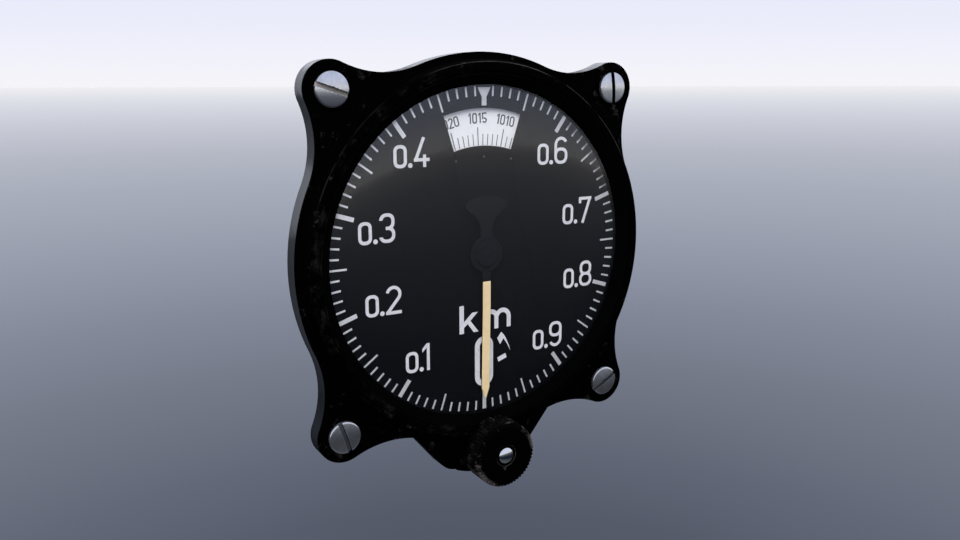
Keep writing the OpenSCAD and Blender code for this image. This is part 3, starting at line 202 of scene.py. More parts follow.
def makeFloor(s):
    bpy.ops.mesh.primitive_circle_add(vertices=96, radius=s["radius"] * mm, fill_type="NGON",
                                      location=(0, 0, s["level"] * mm))
    floor = bpy.context.active_object
    floor.name = "floor"
    bpy.ops.object.transform_apply(location=True, rotation=True, scale=True)
    material = bpy.data.materials.new("paleFloor")
    material.use_nodes = True
    tree = material.node_tree
    tree.nodes.clear()
    place = addNode(tree, "ShaderNodeTexCoord", None, "Object")
    flat = addNode(tree, "ShaderNodeVectorMath", {0: place, 1: (1, 1, 0)}, 0, operation="MULTIPLY")
    away = addNode(tree, "ShaderNodeVectorMath", {0: flat}, "Value", operation="LENGTH")
    reach = addNode(tree, "ShaderNodeMath", {0: away, 1: s["cameraDistance"] * mm}, 0, operation="ADD")
    slope = addNode(tree, "ShaderNodeMath", {0: (s["cameraHeight"] - s["level"]) * mm, 1: reach}, 0,
                    operation="DIVIDE")
    seen = addNode(tree, "ShaderNodeValToRGB", {0: slope}, 0, stops=s["seen"])
    mirrored = addNode(tree, "ShaderNodeValToRGB", {0: slope}, 0, stops=s["mirrored"])
    dim = addNode(tree, "ShaderNodeMix", {0: 1.0, 6: seen, 7: [s["share"]] * 3 + [1]}, 2,
                  data_type="RGBA", blend_type="MULTIPLY")
    matt = addNode(tree, "ShaderNodeBsdfDiffuse", {"Color": dim}, 0)
    glow = addNode(tree, "ShaderNodeEmission", {"Color": mirrored, "Strength": 1}, 0)
    glossy = addNode(tree, "ShaderNodeLightPath", None, "Is Glossy Ray")
    surface = addNode(tree, "ShaderNodeMixShader", {0: glossy, 1: matt, 2: glow}, 0)
    addNode(tree, "ShaderNodeOutputMaterial", {"Surface": surface})
    floor.data.materials.append(material)


makeFloor(floorSettings)

print("stage: materials")

turnRadius = 40   # mm, at which an angle about an axis becomes a length along the circle


def newMaterial(name, patterns, turned=None, axis=None, stretch=8):
    # at: what a finish is read from, all in mm. A pattern is (width of a lump, detail, roughness), and one
    # that is too fine to show is drawn as coarse as it needs to be seen. With an axis, which runs along Y,
    # there are distances from it too, and turned patterns, stretched along the circle like turning marks.
    material = bpy.data.materials.new(name)
    material.use_nodes = True
    tree = material.node_tree
    tree.nodes.clear()
    place = addNode(tree, "ShaderNodeTexCoord", None, "Object")
    place = addNode(tree, "ShaderNodeMapping", {"Vector": place, "Scale": [1 / mm] * 3}, 0)
    at = {"place": place}
    vectors = [(place, patterns)]
    if axis:
        place = addNode(tree, "ShaderNodeVectorMath", {0: place, 1: axis}, 0, operation="SUBTRACT")
        at["x"], at["depth"], at["z"] = addNode(tree, "ShaderNodeSeparateXYZ", {0: place}).outputs
        flat = addNode(tree, "ShaderNodeVectorMath", {0: place, 1: (1, 0, 1)}, 0, operation="MULTIPLY")
        at["radius"] = addNode(tree, "ShaderNodeVectorMath", {0: flat}, "Value", operation="LENGTH")
        at["fromAxis"] = place
    if turned:
        angle = addNode(tree, "ShaderNodeMath", {0: at["x"], 1: at["z"]}, 0, operation="ARCTAN2")
        along = addNode(tree, "ShaderNodeMath", {0: angle, 1: turnRadius / stretch}, 0, operation="MULTIPLY")
        circle = addNode(tree, "ShaderNodeCombineXYZ", {0: along, 1: at["radius"], 2: at["depth"]}, 0)
        vectors.append((circle, turned))
    for vector, rows in vectors:
        for key, (size, detail, roughness) in rows.items():
            at[key] = addNode(tree, "ShaderNodeTexNoise", {"Vector": vector, "Scale": 1 / size,
                                                           "Detail": detail, "Roughness": roughness}, "Fac")
    return material, tree, at


def maskOf(tree, at, fades, mask=1.0):
    # how much of a finish shows; a fade is (what it reads, nothing at, all at) and cuts down those before it
    for key, nothing, full in fades:
        mask = addNode(tree, "ShaderNodeMapRange", {0: at[key], "From Min": nothing, "From Max": full,
                                                    "To Max": mask}, 0)
    return mask


def finishMaterial(material, tree, color, roughness, relief, depth, shine=0.5, metallic=0.0):
    # roughness: one value, or (socket, value at 0, value at 1); depth of the relief in mm
    if isinstance(roughness, tuple):
        socket, low, high = roughness
        roughness = addNode(tree, "ShaderNodeMapRange", {0: socket, "To Min": low, "To Max": high}, 0)
    bump = addNode(tree, "ShaderNodeBump", {"Height": relief, "Distance": depth * mm}, 0)
    surface = addNode(tree, "ShaderNodeBsdfPrincipled", {
        "Base Color": color, "Roughness": roughness, "Normal": bump, "Specular IOR Level": shine,
        "Metallic": metallic}, 0)
    addNode(tree, "ShaderNodeOutputMaterial", {"Surface": surface})
    return material


# Scuffs on the left of the rim and of the ring inside it: patches of fine dull arcs
scuffs = {
    "tone": "#1f1e1d",
    "patterns": {"scuffPatches": (4.0, 5, 0.7)},
    "turned": {"scuffArcs": (0.3, 5, 0.75)},
    "where": [("x", -4, -14), ("radius", 38.3, 38.8), ("radius", 41.1, 40.7), ("depth", -6.4, -6.8),
              ("scuffPatches", 0.5, 0.66), ("scuffArcs", 0.4, 0.62)],
}

# Baked black lacquer on a die-cast alloy: deep black, slightly uneven, rubbed to grey along its edges
lacquerSettings = {
    "black": "#010101", "rubbed": "#3c3b3a", "rimRubAndHighlight": "#4a4846", "dust": "#111111",
    "roughness": (0.47, 0.67), "shine": 0.006, "grainDepth": 0.03,
    "patterns": {"cloud": (6.0, 4, 0.55), "grain": (0.35, 2, 0.55), "patches": (3.2, 5, 0.75),
                 "wave": (3.0, 3, 0.6), "rightGaps": (7.0, 4, 0.6), "leftGaps": (5.0, 4, 0.6)},
    "turned": {"streaks": (0.5, 5, 0.7)},
    # the flange's side, between its front bevel and the panel, with the reflection that the photograph shows
    # on it painted into its colour; low and high slant between which it shows, and its share straight on
    "side": [("depth", -4.15, -3.8), ("depth", 0.6, 0.2)],
    "sideSlant": (0.1, 0.4), "sideStraightOn": 0.14,
    # its tone from the bottom (0) to the top (1) of the flange, fitted to colours read off the photograph
    "sideHeight": [("height", -45, 45)], "sideWave": 4,
    "paintedReflectionTones": [(0.0, "#212329"), (0.14, "#212329"), (0.2, "#1d1f24"), (0.26, "#2b2d33"), (0.31, "#3c3e44"),
                  (0.37, "#383a41"), (0.44, "#33363a"), (0.5, "#2f3135"), (0.575, "#323438"),
                  (0.605, "#585b5f"), (0.72, "#5e6166"), (0.745, "#3e4044"), (0.8, "#3c3e42"),
                  (0.84, "#393b40"), (0.872, "#3f4146"), (0.886, "#6a6c72"), (0.935, "#72747a"),
                  (0.95, "#9a9da4"), (1.0, "#a9acb3")],
    "dusty": [("depth", -4.3, -4.6), ("streaks", 0.56, 0.7), ("cloud", 0.5, 0.68)],
    # rubbed places: the flange's front bevel and both edges of the raised rim
    "bevel": [("depth", -4.5, -4.3), ("depth", -3.8, -4.1)],
    "rimTop": [("radius", 40.2, 40.8), ("radius", 41.7, 41.2), ("depth", -6.2, -6.8)],
    "wear": [("patches", 0.6, 0.72)],
    # a thin pale line along the rim's outer edge, partly rubbed paint and partly a painted highlight:
    # clear at the right, faint at the upper left
    "rimEdge": [("radius", 40.9, 41.05), ("depth", -6.95, -7.1)],
    "rightLine": [("x", -16, 2), ("z", -12, 10), ("rightGaps", 0.38, 0.6)],
    "leftLine": [("x", -18, -24), ("z", 10, 16), ("z", 34, 29), ("leftGaps", 0.4, 0.6)],
    "leftStrength": 0.16,
}


def blackLacquer(s):
    material, tree, at = newMaterial("bakedBlackLacquer", {**s["patterns"], **scuffs["patterns"]},
                                     {**s["turned"], **scuffs["turned"]}, (0, 0, 0))
    # the side's painted reflection depends on the viewing slant: pale at a slant, nearly black straight on
    facing = addNode(tree, "ShaderNodeLayerWeight", {"Blend": 0.5}, "Facing")
    low, high = s["sideSlant"]
    slant = addNode(tree, "ShaderNodeMapRange", {0: facing, "From Min": low, "From Max": high,
                                                 "To Min": s["sideStraightOn"]}, 0)
    wave = addNode(tree, "ShaderNodeMath", {0: at["wave"], 1: s["sideWave"], 2: -s["sideWave"] / 2}, 0,
                   operation="MULTIPLY_ADD")
    at["height"] = addNode(tree, "ShaderNodeMath", {0: at["z"], 1: wave}, 0, operation="ADD")
    # the side's painted reflection, from the bottom to the top of the flange
    paintedReflection = addNode(tree, "ShaderNodeValToRGB", {0: maskOf(tree, at, s["sideHeight"])}, 0,
                       stops=s["paintedReflectionTones"])
    bevel, rimTop = maskOf(tree, at, s["bevel"]), maskOf(tree, at, s["rimTop"])
    edges = addNode(tree, "ShaderNodeMath", {0: bevel, 1: rimTop}, 0, operation="MAXIMUM")
    # the rim's edge line: rubbed paint with a painted highlight
    rimEdge = maskOf(tree, at, s["rimEdge"])
    faint = addNode(tree, "ShaderNodeMath", {0: rimEdge, 1: s["leftStrength"]}, 0, operation="MULTIPLY")
    line = addNode(tree, "ShaderNodeMath", {0: maskOf(tree, at, s["rightLine"], rimEdge),
                                            1: maskOf(tree, at, s["leftLine"], faint)}, 0, operation="ADD")
    color = layColors(tree, s["black"],
                      (maskOf(tree, at, s["side"], slant), paintedReflection),
                      (maskOf(tree, at, s["dusty"]), s["dust"]),
                      (maskOf(tree, at, s["wear"], edges), s["rubbed"]),
                      (line, s["rimRubAndHighlight"]),
                      (maskOf(tree, at, scuffs["where"]), scuffs["tone"]))
    return finishMaterial(material, tree, color, (at["cloud"], *s["roughness"]), at["grain"],
                          s["grainDepth"], s["shine"])


# Satin black of the pot behind the panel: smoother than the face, dull where it was handled
rearSettings = {
    "patterns": {"cloud": (9.0, 5, 0.6), "places": (5.0, 3, 0.55), "relief": (0.5, 3, 0.55)},
    "turned": {"lines": (0.5, 6, 0.8)}, "stretch": 6,
    "black": "#141518", "dull": "#1d1e21", "scratched": "#3c3c3d",
    "handled": [("cloud", 0.45, 0.75)], "scratches": [("lines", 0.6, 0.74), ("places", 0.45, 0.7)],
    "roughness": (0.38, 0.6), "reliefDepth": 0.012,
}


def rearLacquer(s):
    material, tree, at = newMaterial("satinBlackLacquer", s["patterns"], s["turned"], (0, 0, 0), s["stretch"])
    handled = maskOf(tree, at, s["handled"])
    color = layColors(tree, s["black"], (handled, s["dull"]),
                      (maskOf(tree, at, s["scratches"]), s["scratched"]))
    return finishMaterial(material, tree, color, (handled, *s["roughness"]), at["relief"], s["reliefDepth"])


# Dead black of the rings that frame the dial: soot-like, it gives back almost nothing
ringSettings = {
    "patterns": {"cloud": (4.0, 4, 0.55), "dullness": (1.5, 4, 0.55), "relief": (0.3, 2, 0.55)},
    "tones": ("#010101", "#030303"), "roughness": (0.7, 0.9), "shine": 0.01, "reliefDepth": 0.01,
}


def ringPaint(s):
    material, tree, at = newMaterial("sootBlackPaint", {**s["patterns"], **scuffs["patterns"]},
                                     scuffs["turned"], (0, 0, 0))
    color = layColors(tree, s["tones"][0], (at["cloud"], s["tones"][1]),
                      (maskOf(tree, at, scuffs["where"]), scuffs["tone"]))
    return finishMaterial(material, tree, color, (at["dullness"], *s["roughness"]), at["relief"],
                          s["reliefDepth"], s["shine"])


def plainCoat(name, s):
    # two close tones in soft clouds over a fine relief
    material, tree, at = newMaterial(name, {"cloud": s["cloud"], "relief": s["relief"]})
    color = layColors(tree, s["tones"][0], (maskOf(tree, at, [("cloud", *s["fade"])]), s["tones"][1]))
    return finishMaterial(material, tree, color, s["roughness"], at["relief"], s["reliefDepth"],
                          s.get("shine", 0.5))


# Matt dial paint, sprayed: nearly black with a breath of blue and a very fine grain
dialSettings = {
    "tones": ("#0d0e10", "#111215"), "cloud": (9.0, 4, 0.55), "fade": (0, 1),
    "roughness": 0.75, "shine": 0.03, "relief": (0.3, 2, 0.55), "reliefDepth": 0.003,
}
# Satin black paint of the hand
handPaintSettings = {
    "tones": ("#151518", "#19191c"), "cloud": (3.0, 4, 0.55), "fade": (0, 1),
    "roughness": 0.6, "shine": 0.08, "relief": (0.2, 3, 0.55), "reliefDepth": 0.01,
}
# Aged luminous paint in its tray: warm cream, grainy
lumeSettings = {
    "tones": ("#f8e0b4", "#f2d8a8"), "cloud": (2.5, 5, 0.6), "fade": (0.35, 0.7),
    "roughness": 0.8, "relief": (0.2, 3, 0.55), "reliefDepth": 0.02,
}
# Rubber: dull, slightly dusty
rubberSettings = {
    "tones": ("#141414", "#1f1f1e"), "cloud": (2.0, 4, 0.55), "fade": (0, 1),
    "roughness": 0.85, "relief": (0.3, 3, 0.55), "reliefDepth": 0.03,
}
# Screen print: flat, a little thin in places
printSettings = {
    "cloud": (1.4, 6, 0.7), "fade": (0.45, 0.8),
    "roughness": 0.6, "shine": 0.3, "relief": (0.15, 2, 0.55), "reliefDepth": 0.008,
}
# its colours: the first where it is full, the second where it is thin
printTones = {
    "palePrint": ("#e2e3ea", "#c9cbd4"),
    "greyPrint": ("#45464c", "#5a5b60"),
    "dullGreyPrint": ("#242424", "#191919"),
    "rubbedRivet": ("#545454", "#3c3c3c"),
    "paleEnamel": ("#f8f9ff", "#eef0fa"),
    "redJewel": ("#8e1f2e", "#6f1622"),
}
printRoughness = {"paleEnamel": 0.45, "redJewel": 0.15}


def dialPrint(name):
    s = {**printSettings, "tones": printTones[name]}
    return plainCoat(name, {**s, "roughness": printRoughness.get(name, s["roughness"])})


# The dial's marks: the same print, thinner and greyer except at the upper left, where they are painted
# brighter as light; in one sector, at the upper right, their outer ends are darker
markSettings = {
    "patterns": {"cloud": (1.4, 6, 0.7), "relief": (0.15, 2, 0.55)}, "thin": [("cloud", 0.45, 0.8)],
    "grey": ("#c3c4cb", "#adafb7"), "fresh": ("#e2e3ea", "#cfd1d9"), "worn": "#76777f",
    # painted light: the marks brighter towards the upper left
    "paintedLightWay": (-0.85, 0, 0.53), "paintedLightWhere": [("toPaintedLight", 12, 30)],
    # the marks' outer ends darker in one sector at the upper right
    "dimWay": (0.809, 0, 0.588), "dimWhere": [("sector", 0.953, 0.966), ("radius", 34.1, 35.2)],
    "roughness": 0.6, "shine": 0.3, "reliefDepth": 0.008,
}


def markPrint(s):
    material, tree, at = newMaterial("thinMarkPrint", s["patterns"], None, (0, 0, 0))
    at["toPaintedLight"], toDim = (addNode(tree, "ShaderNodeVectorMath", {0: at["place"], 1: s[way]}, "Value",
                                     operation="DOT_PRODUCT") for way in ("paintedLightWay", "dimWay"))
    at["sector"] = addNode(tree, "ShaderNodeMath", {0: toDim, 1: at["radius"]}, 0, operation="DIVIDE")
    thin = maskOf(tree, at, s["thin"])
    grey, fresh = (layColors(tree, s[key][0], (thin, s[key][1])) for key in ("grey", "fresh"))
    color = layColors(tree, grey, (maskOf(tree, at, s["paintedLightWhere"]), fresh),
                      (maskOf(tree, at, s["dimWhere"]), s["worn"]))
    return finishMaterial(material, tree, color, s["roughness"], at["relief"], s["reliefDepth"], s["shine"])


# Turned metal: fine rings round the piece's own axis and small handling marks
metalSettings = {
    "stretch": 30, "patterns": {"stains": (1.8, 5, 0.65), "scratches": (0.5, 8, 0.8)},
    "stained": [("stains", 0.35, 0.75)], "scratched": [("scratches", 0.55, 0.75)],
    "ringWidth": 0.12, "ringDepth": 0.006, "marks": 0.5, "markRoughness": 0.25,
    # painted shade: a head's lower half darker
    "paintedShadeWhere": [("z", 0.2, -1.4)],            # the lower half of a head
    # the slot's colours: dirt with painted shade and light
    "shadeAndDirtEdge": (0.035, 0.005), "shadeAndDirtDepth": (0.12, 0.02), "wallDepth": (-0.08, -0.04),
    "shadeAndDirtMetallic": (0.94, 0.0), "shadeAndDirtShine": 0.05,
}


def turnedMetal(name, light, dark, roughness, axis=(0, 0, 0), ringWidth=metalSettings["ringWidth"],
                marks=metalSettings["marks"], slot=None, dull=None):
    # slot: (turn in degrees, half width, depth of its floor, wall colour, floor colour), lengths in mm; the
    # colours are dirt with painted shade and light
    # dull: the darker colour painted on a head's lower half as shade
    s = metalSettings
    material, tree, at = newMaterial(name, s["patterns"], {"rings": (ringWidth, 3, 0.6)}, axis, s["stretch"])
    color = layColors(tree, light, (maskOf(tree, at, s["stained"]), dark))
    metallic, shine = 1.0, 0.5
    if dull:
        color = layColors(tree, color, (maskOf(tree, at, s["paintedShadeWhere"]), dull))
    if slot:
        # old dirt in the slot, with painted shade on its walls and painted light and shade on its floor
        turn, half, floor, wallDirtAndShade, floorDirtLightAndShade = slot
        way = (-math.sin(math.radians(turn)), 0, math.cos(math.radians(turn)))
        across = addNode(tree, "ShaderNodeVectorMath", {0: at["fromAxis"], 1: way}, "Value",
                         operation="DOT_PRODUCT")
        at["across"] = addNode(tree, "ShaderNodeMath", {0: across}, 0, operation="ABSOLUTE")
        shadeAndDirt = maskOf(tree, at, [("across", *(half + v for v in s["shadeAndDirtEdge"])),
                                 ("depth", *(floor + v for v in s["shadeAndDirtDepth"]))])
        onFloor = maskOf(tree, at, [("depth", *(floor + v for v in s["wallDepth"]))])
        color = layColors(tree, color, (shadeAndDirt, layColors(tree, wallDirtAndShade, (onFloor, floorDirtLightAndShade))))
        clean, shadedAndDirty = s["shadeAndDirtMetallic"]
        metallic = addNode(tree, "ShaderNodeMapRange", {0: shadeAndDirt, "To Min": clean, "To Max": shadedAndDirty}, 0)
        shine = s["shadeAndDirtShine"]
    scratched = maskOf(tree, at, s["scratched"])
    return finishMaterial(material, tree, color, (scratched, roughness, roughness + s["markRoughness"] * marks),
                          at["rings"], s["ringDepth"], shine, metallic)


# Clear mineral glass: only its reflections and a trace of smears show
glassFinish = {
    "patterns": {"smears": (12, 4, 0.6)}, "straight": 0.04, "edgeOn": 1.0, "slantPower": 5.0,
    "smeared": (0.4, 0.8), "roughness": (0.03, 0.08),
}


def clearGlass(s):
    material, tree, at = newMaterial("clearGlass", s["patterns"])
    facing = addNode(tree, "ShaderNodeLayerWeight", {"Blend": 0.5}, "Facing")
    slant = addNode(tree, "ShaderNodeMath", {0: facing, 1: s["slantPower"]}, 0, operation="POWER")
    share = addNode(tree, "ShaderNodeMapRange", {0: slant, "To Min": s["straight"], "To Max": s["edgeOn"]}, 0)
    rough = addNode(tree, "ShaderNodeMapRange", {
        0: at["smears"], "From Min": s["smeared"][0], "From Max": s["smeared"][1],
        "To Min": s["roughness"][0], "To Max": s["roughness"][1]}, 0)
    clear = addNode(tree, "ShaderNodeBsdfTransparent", None, 0)
    shine = addNode(tree, "ShaderNodeBsdfGlossy", {"Roughness": rough}, 0)
    mixed = addNode(tree, "ShaderNodeMixShader", {0: share, 1: clear, 2: shine}, 0)
    addNode(tree, "ShaderNodeOutputMaterial", {"Surface": mixed})
    return material


# Moulded black plastic of the knob: satin, rubbed grey-brown round its well and, in patches, at the front
# ends of its ribs, most at the upper right and the lower left
knobFinish = {
    "patterns": {"ends": (2.4, 5, 0.65), "fine": (1.6, 4, 0.55), "round": (1.6, 3, 0.55),
                 "relief": (0.4, 4, 0.55)},
    "black": "#010101", "crest": "#0d0d0d", "worn": "#4a4745",
    # the ribs' crests a little lighter from wear, fading to black towards the back as painted shade
    "crests": [("rubbed", 0.05, 0.13), ("depth", -13.4, -13.1), ("depth", -8.4, -10.2), ("fine", 0.3, 0.7)],
    "well": [("rubbed", 0.8, 1.0), ("round", 0.3, 1.0)],
    "upperRight": [("x", 1, 4), ("z", -44.5, -41.5)],
    "lowerLeft": [("x", -2, -5), ("z", -44.5, -47.5)],
    "handledShare": 0.13,
    "front": [("rubbed", 0.0, 0.7), ("rubbed", 0.76, 0.72), ("handled", 0.56, 0.72)],
    "roughness": (0.42, 0.7), "shine": 0.02, "reliefDepth": 0.02,
}


def knobPlastic(s):
    material, tree, at = newMaterial("rubbedBlackKnob", s["patterns"], None, (0, 0, 0))
    at["rubbed"] = addNode(tree, "ShaderNodeAttribute", None, "Fac", attribute_name="rubbed")
    handled = addNode(tree, "ShaderNodeMath", {0: maskOf(tree, at, s["upperRight"]),
                                               1: maskOf(tree, at, s["lowerLeft"])}, 0, operation="ADD")
    at["handled"] = addNode(tree, "ShaderNodeMath", {0: handled, 1: s["handledShare"], 2: at["ends"]}, 0,
                            operation="MULTIPLY_ADD")
    wear = addNode(tree, "ShaderNodeMath", {0: maskOf(tree, at, s["front"]), 1: maskOf(tree, at, s["well"])}, 0,
                   operation="MAXIMUM")
    color = layColors(tree, s["black"], (maskOf(tree, at, s["crests"]), s["crest"]), (wear, s["worn"]))
    return finishMaterial(material, tree, color, (wear, *s["roughness"]), at["relief"], s["reliefDepth"],
                          s["shine"])


knobAxis = (0, 0, -44.1)             # mm, a place on the axis, which runs along Y
capsuleAxis = (0, 16.5, 17.46)
slotMaterials = {
    "black_paint": blackLacquer(lacquerSettings),
    "dial_black": plainCoat("mattDialPaint", dialSettings),
    "dial_white": dialPrint("palePrint"),
    "scale_white": dialPrint("paleEnamel"),
    "scale_grey": dialPrint("greyPrint"),
    "steel": turnedMetal("turnedSteel", "#b9bcc2", "#8f9298", 0.24),
    "screw_polished": turnedMetal("polishedSteel", "#eeeeec", "#d6d8d6", 0.13, knobAxis, 0.2, 0.3),
    "glass": clearGlass(glassFinish),
    "rubber": plainCoat("blackRubber", rubberSettings),
    "brass": turnedMetal("turnedBrass", "#c9a45c", "#a07e40", 0.28),
    "capsule_alloy": turnedMetal("berylliumBronze", "#c2a877", "#9d8455", 0.3, capsuleAxis),
    "blue_steel": turnedMetal("bluedSteel", "#3b4a78", "#2c3557", 0.25),
    "bimetal": turnedMetal("stripMetal", "#b09a86", "#8f7c6a", 0.35),
    "jewel": dialPrint("redJewel"),
    "lume": plainCoat("agedLuminousPaint", lumeSettings),
    "knob_black": knobPlastic(knobFinish),
}
handBlack = plainCoat("satinHandPaint", handPaintSettings)
soot = ringPaint(ringSettings)
dullPrint = dialPrint("dullGreyPrint")
ownFinish = {   # pieces whose finish isn't their slot's
    "dial_graduations": markPrint(markSettings), "dial_rivets": dialPrint("rubbedRivet"),
    "bezel_ring": soot, "sloped_ring": soot, "case_rear": rearLacquer(rearSettings),
}
slotOf = {row["node"]: row["material_slot"] for row in frame["record"]["subparts"]}


def finishOf(node):
    return ownFinish.get(node) or slotMaterials[slotOf[node]]


for name, node in nodes.items():
    node.data.materials.clear()
    node.data.materials.append(finishOf(name))

print("stage: cleaned copies of the CAD pieces")


meshSettings = {
    "merge": 0.002,   # mm, vertices nearer than this are one
    "flat": 0.6,      # degrees, triangles nearer than this to one plane are one face
    "softEdge": {"segments": 2, "limit_method": "ANGLE"},
}


def selectOnly(piece):
    if bpy.context.object and bpy.context.object.mode != "OBJECT":
        bpy.ops.object.mode_set(mode="OBJECT")
    bpy.ops.object.select_all(action="DESELECT")
    piece.select_set(True)
    bpy.context.view_layer.objects.active = piece


def applyModifier(piece, kind, **settings):
    selectOnly(piece)
    modifier = piece.modifiers.new(kind.lower(), kind)
    for key, value in settings.items():
        setattr(modifier, key, value)
    bpy.ops.object.modifier_apply(modifier=modifier.name)


def softenEdges(piece, width, angle):
    applyModifier(piece, "BEVEL", width=width * mm, angle_limit=math.radians(angle), **meshSettings["softEdge"])


def smoothPiece(piece, angle=32):
    selectOnly(piece)
    bpy.ops.object.shade_smooth_by_angle(angle=math.radians(angle))


def finishPiece(piece, name, body, slot, material, *replaced):
    piece.name = name
    piece.data.name = name
    piece.data.materials.clear()
    piece.data.materials.append(material)
    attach(piece, body)
    if replaced:
        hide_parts(*replaced)


# The cast flange's front edge is crisper than a plain bevel
edgeSettings = {
    "front": -4.4, "bevelBack": -3.9, "slack": 0.05, "frontBand": 0.1,   # mm
    "slopes": (-0.85, -0.5),                                             # of the bevel's faces
    "outward": 0.35, "forward": 0.33,                                    # mm that its corners move
}


def sharpenEdge(piece, s):
    mesh = piece.data
    steepest, flattest = s["slopes"]
    ways = {}
    for face in mesh.polygons:
        depths = [mesh.vertices[i].co.y / mm for i in face.vertices]
        inBevel = min(depths) > s["front"] - s["slack"] and max(depths) < s["bevelBack"]
        if inBevel and steepest < face.normal.y < flattest:
            for i in face.vertices:
                ways[i] = ways.get(i, Vector()) + Vector((face.normal.x, 0, face.normal.z)).normalized()
    for i, way in ways.items():
        vertex = mesh.vertices[i]
        if vertex.co.y / mm < s["front"] + s["frontBand"]:
            vertex.co += way.normalized() * s["outward"] * mm
        else:
            vertex.co.y -= s["forward"] * mm


def cleanCopy(node, name, softness):
    # a CAD piece with its triangles joined, its corners softened and its round faces smooth
    source = nodes[node]
    piece = source.copy()
    piece.data = source.data.copy()
    piece.parent = None
    for key in list(piece.keys()):
        del piece[key]
    bpy.context.scene.collection.objects.link(piece)
    selectOnly(piece)
    bpy.ops.object.mode_set(mode="EDIT")
    bpy.ops.mesh.select_all(action="SELECT")
    bpy.ops.mesh.remove_doubles(threshold=meshSettings["merge"] * mm)
    bpy.ops.mesh.dissolve_limited(angle_limit=math.radians(meshSettings["flat"]))
    bpy.ops.object.mode_set(mode="OBJECT")
    if node == "case_front":
        sharpenEdge(piece, edgeSettings)
    if softness:
        softenEdges(piece, softness, 35)
    smoothPiece(piece)
    finishPiece(piece, name, source["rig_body"], slotOf[node], finishOf(node), node)


copies = {
    # node: (piece, width of the softened corners in mm)
    "case_front": ("flangeBody", 0.12),
    "case_rear": ("rearCase", 0.15),
    "bezel_ring": ("clampRing", 0.04),
    "sloped_ring": ("slopedRing", 0.03),
    "dial_plate": ("dialPlate", 0.05),
    "pressure_scale": ("pressureDisc", 0.0),
    "static_port": ("hoseSpigot", 0.12),
    "port_washer": ("spigotWasher", 0.05),
    "access_plug": ("accessPlug", 0.1),
    "case_screws": ("caseScrews", 0.03),
    "shaft_bush": ("shaftBush", 0.08),
    "knob_shaft": ("knobShaft", 0.05),
}
for node, (name, softness) in copies.items():
    cleanCopy(node, name, softness)

print("stage: pieces modelled here")


def startRing(count):
    # an open ring of vertices whose places are then set one by one
    bpy.ops.object.select_all(action="DESELECT")
    bpy.ops.mesh.primitive_circle_add(vertices=count, radius=10 * mm, fill_type="NOTHING")
    return bpy.context.active_object


def placeVertices(vertices, places):
    for vertex, place in zip(vertices, places):
        vertex.co = Vector(place) * mm


def movePiece(piece, offset):
    piece.data.transform(Matrix.Translation(Vector(offset) * mm))


def turnedPiece(profile, steps=96):
    # profile: (radius, depth) points of a closed line, turned about the Y axis
    piece = startRing(len(profile))
    placeVertices(piece.data.vertices, [(r, y, 0) for r, y in profile])
    selectOnly(piece)
    bpy.ops.object.mode_set(mode="EDIT")
    bpy.ops.mesh.select_all(action="SELECT")
    bpy.ops.mesh.spin(steps=steps, angle=2 * math.pi, center=(0, 0, 0), axis=(0, 1, 0))
    bpy.ops.mesh.select_all(action="SELECT")
    bpy.ops.mesh.remove_doubles(threshold=meshSettings["merge"] * mm)
    bpy.ops.mesh.delete_loose()
    bpy.ops.mesh.normals_make_consistent(inside=False)
    bpy.ops.object.mode_set(mode="OBJECT")
    return piece


def platePiece(outline, front, back):
    # outline: (x, z) points; a flat plate between two depths
    piece = startRing(len(outline))
    placeVertices(piece.data.vertices, [(x, back, z) for x, z in outline])
    selectOnly(piece)
    bpy.ops.object.mode_set(mode="EDIT")
    bpy.ops.mesh.select_all(action="SELECT")
    bpy.ops.mesh.edge_face_add()
    bpy.ops.mesh.extrude_region_move(TRANSFORM_OT_translate={"value": (0, (front - back) * mm, 0)})
    bpy.ops.mesh.select_all(action="SELECT")
    bpy.ops.mesh.normals_make_consistent(inside=False)
    bpy.ops.object.mode_set(mode="OBJECT")
    return piece


# Domed glass, flatter in the middle and rounder near its edge, as its reflection in the photograph shows
glassSettings = {
    "radius": 38.85, "thickness": 0.55, "dome": 0.6, "shoulder": 1.2,   # mm
    "shoulderPower": 5.7,         # the higher, the nearer to the edge the shoulder bends
    "rings": 40, "around": 192,   # faces
}


def makeGlass(s):
    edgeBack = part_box("cover_glass")[1].y / mm
    radii = [s["radius"] * i / s["rings"] for i in range(s["rings"] + 1)]

    def rise(r):
        share = r / s["radius"]
        return s["dome"] * (1 - share ** 2) + s["shoulder"] * (1 - share ** s["shoulderPower"])

    back = [(r, edgeBack - rise(r)) for r in radii]
    front = [(r, edgeBack - s["thickness"] - rise(r)) for r in reversed(radii)]
    glass = turnedPiece(back + front, s["around"])
    smoothPiece(glass, 40)
    finishPiece(glass, "domedGlass", "case", "glass", finishOf("cover_glass"), "cover_glass")


makeGlass(glassSettings)

# Slotted lug screws: low domed heads with soft edges
screwSettings = {
    "headRadius": 3.5, "seat": -4.4, "crown": 0.28, "edge": 0.16, "underEdge": 0.12,   # mm
    "domeShares": (0.88, 0.76, 0.62, 0.48, 0.34, 0.2, 0.08, 0),   # of the radius, from the edge to the middle
    "slotWidth": 0.9, "slotDepth": 0.9, "slotLength": 12, "slotBevel": 0.05,
    "shankRadius": 2.0, "waist": 1.85, "waistStart": -0.05, "tipChamfer": 0.45,
    "light": "#d8dadd", "dark": "#b9bbc0", "roughness": 0.12, "ringWidth": 0.16, "marks": 0.4,
    # each screw: its lug, the slot's turn in degrees, the colours of the slot's wall and floor, dirt with
    # painted shade and light, and the colour of the head's lower half, painted darker as shade
    "screws": [
        ((-1, 1), -18.7, "#101013", "#96928f", "#9c9ea4"),
        ((1, 1), 94.5, "#040405", "#050506", None),
        ((-1, -1), -72, "#08080a", "#3c3f47", None),
        ((1, -1), 28, "#2c2d33", "#484a51", None),
    ],
}


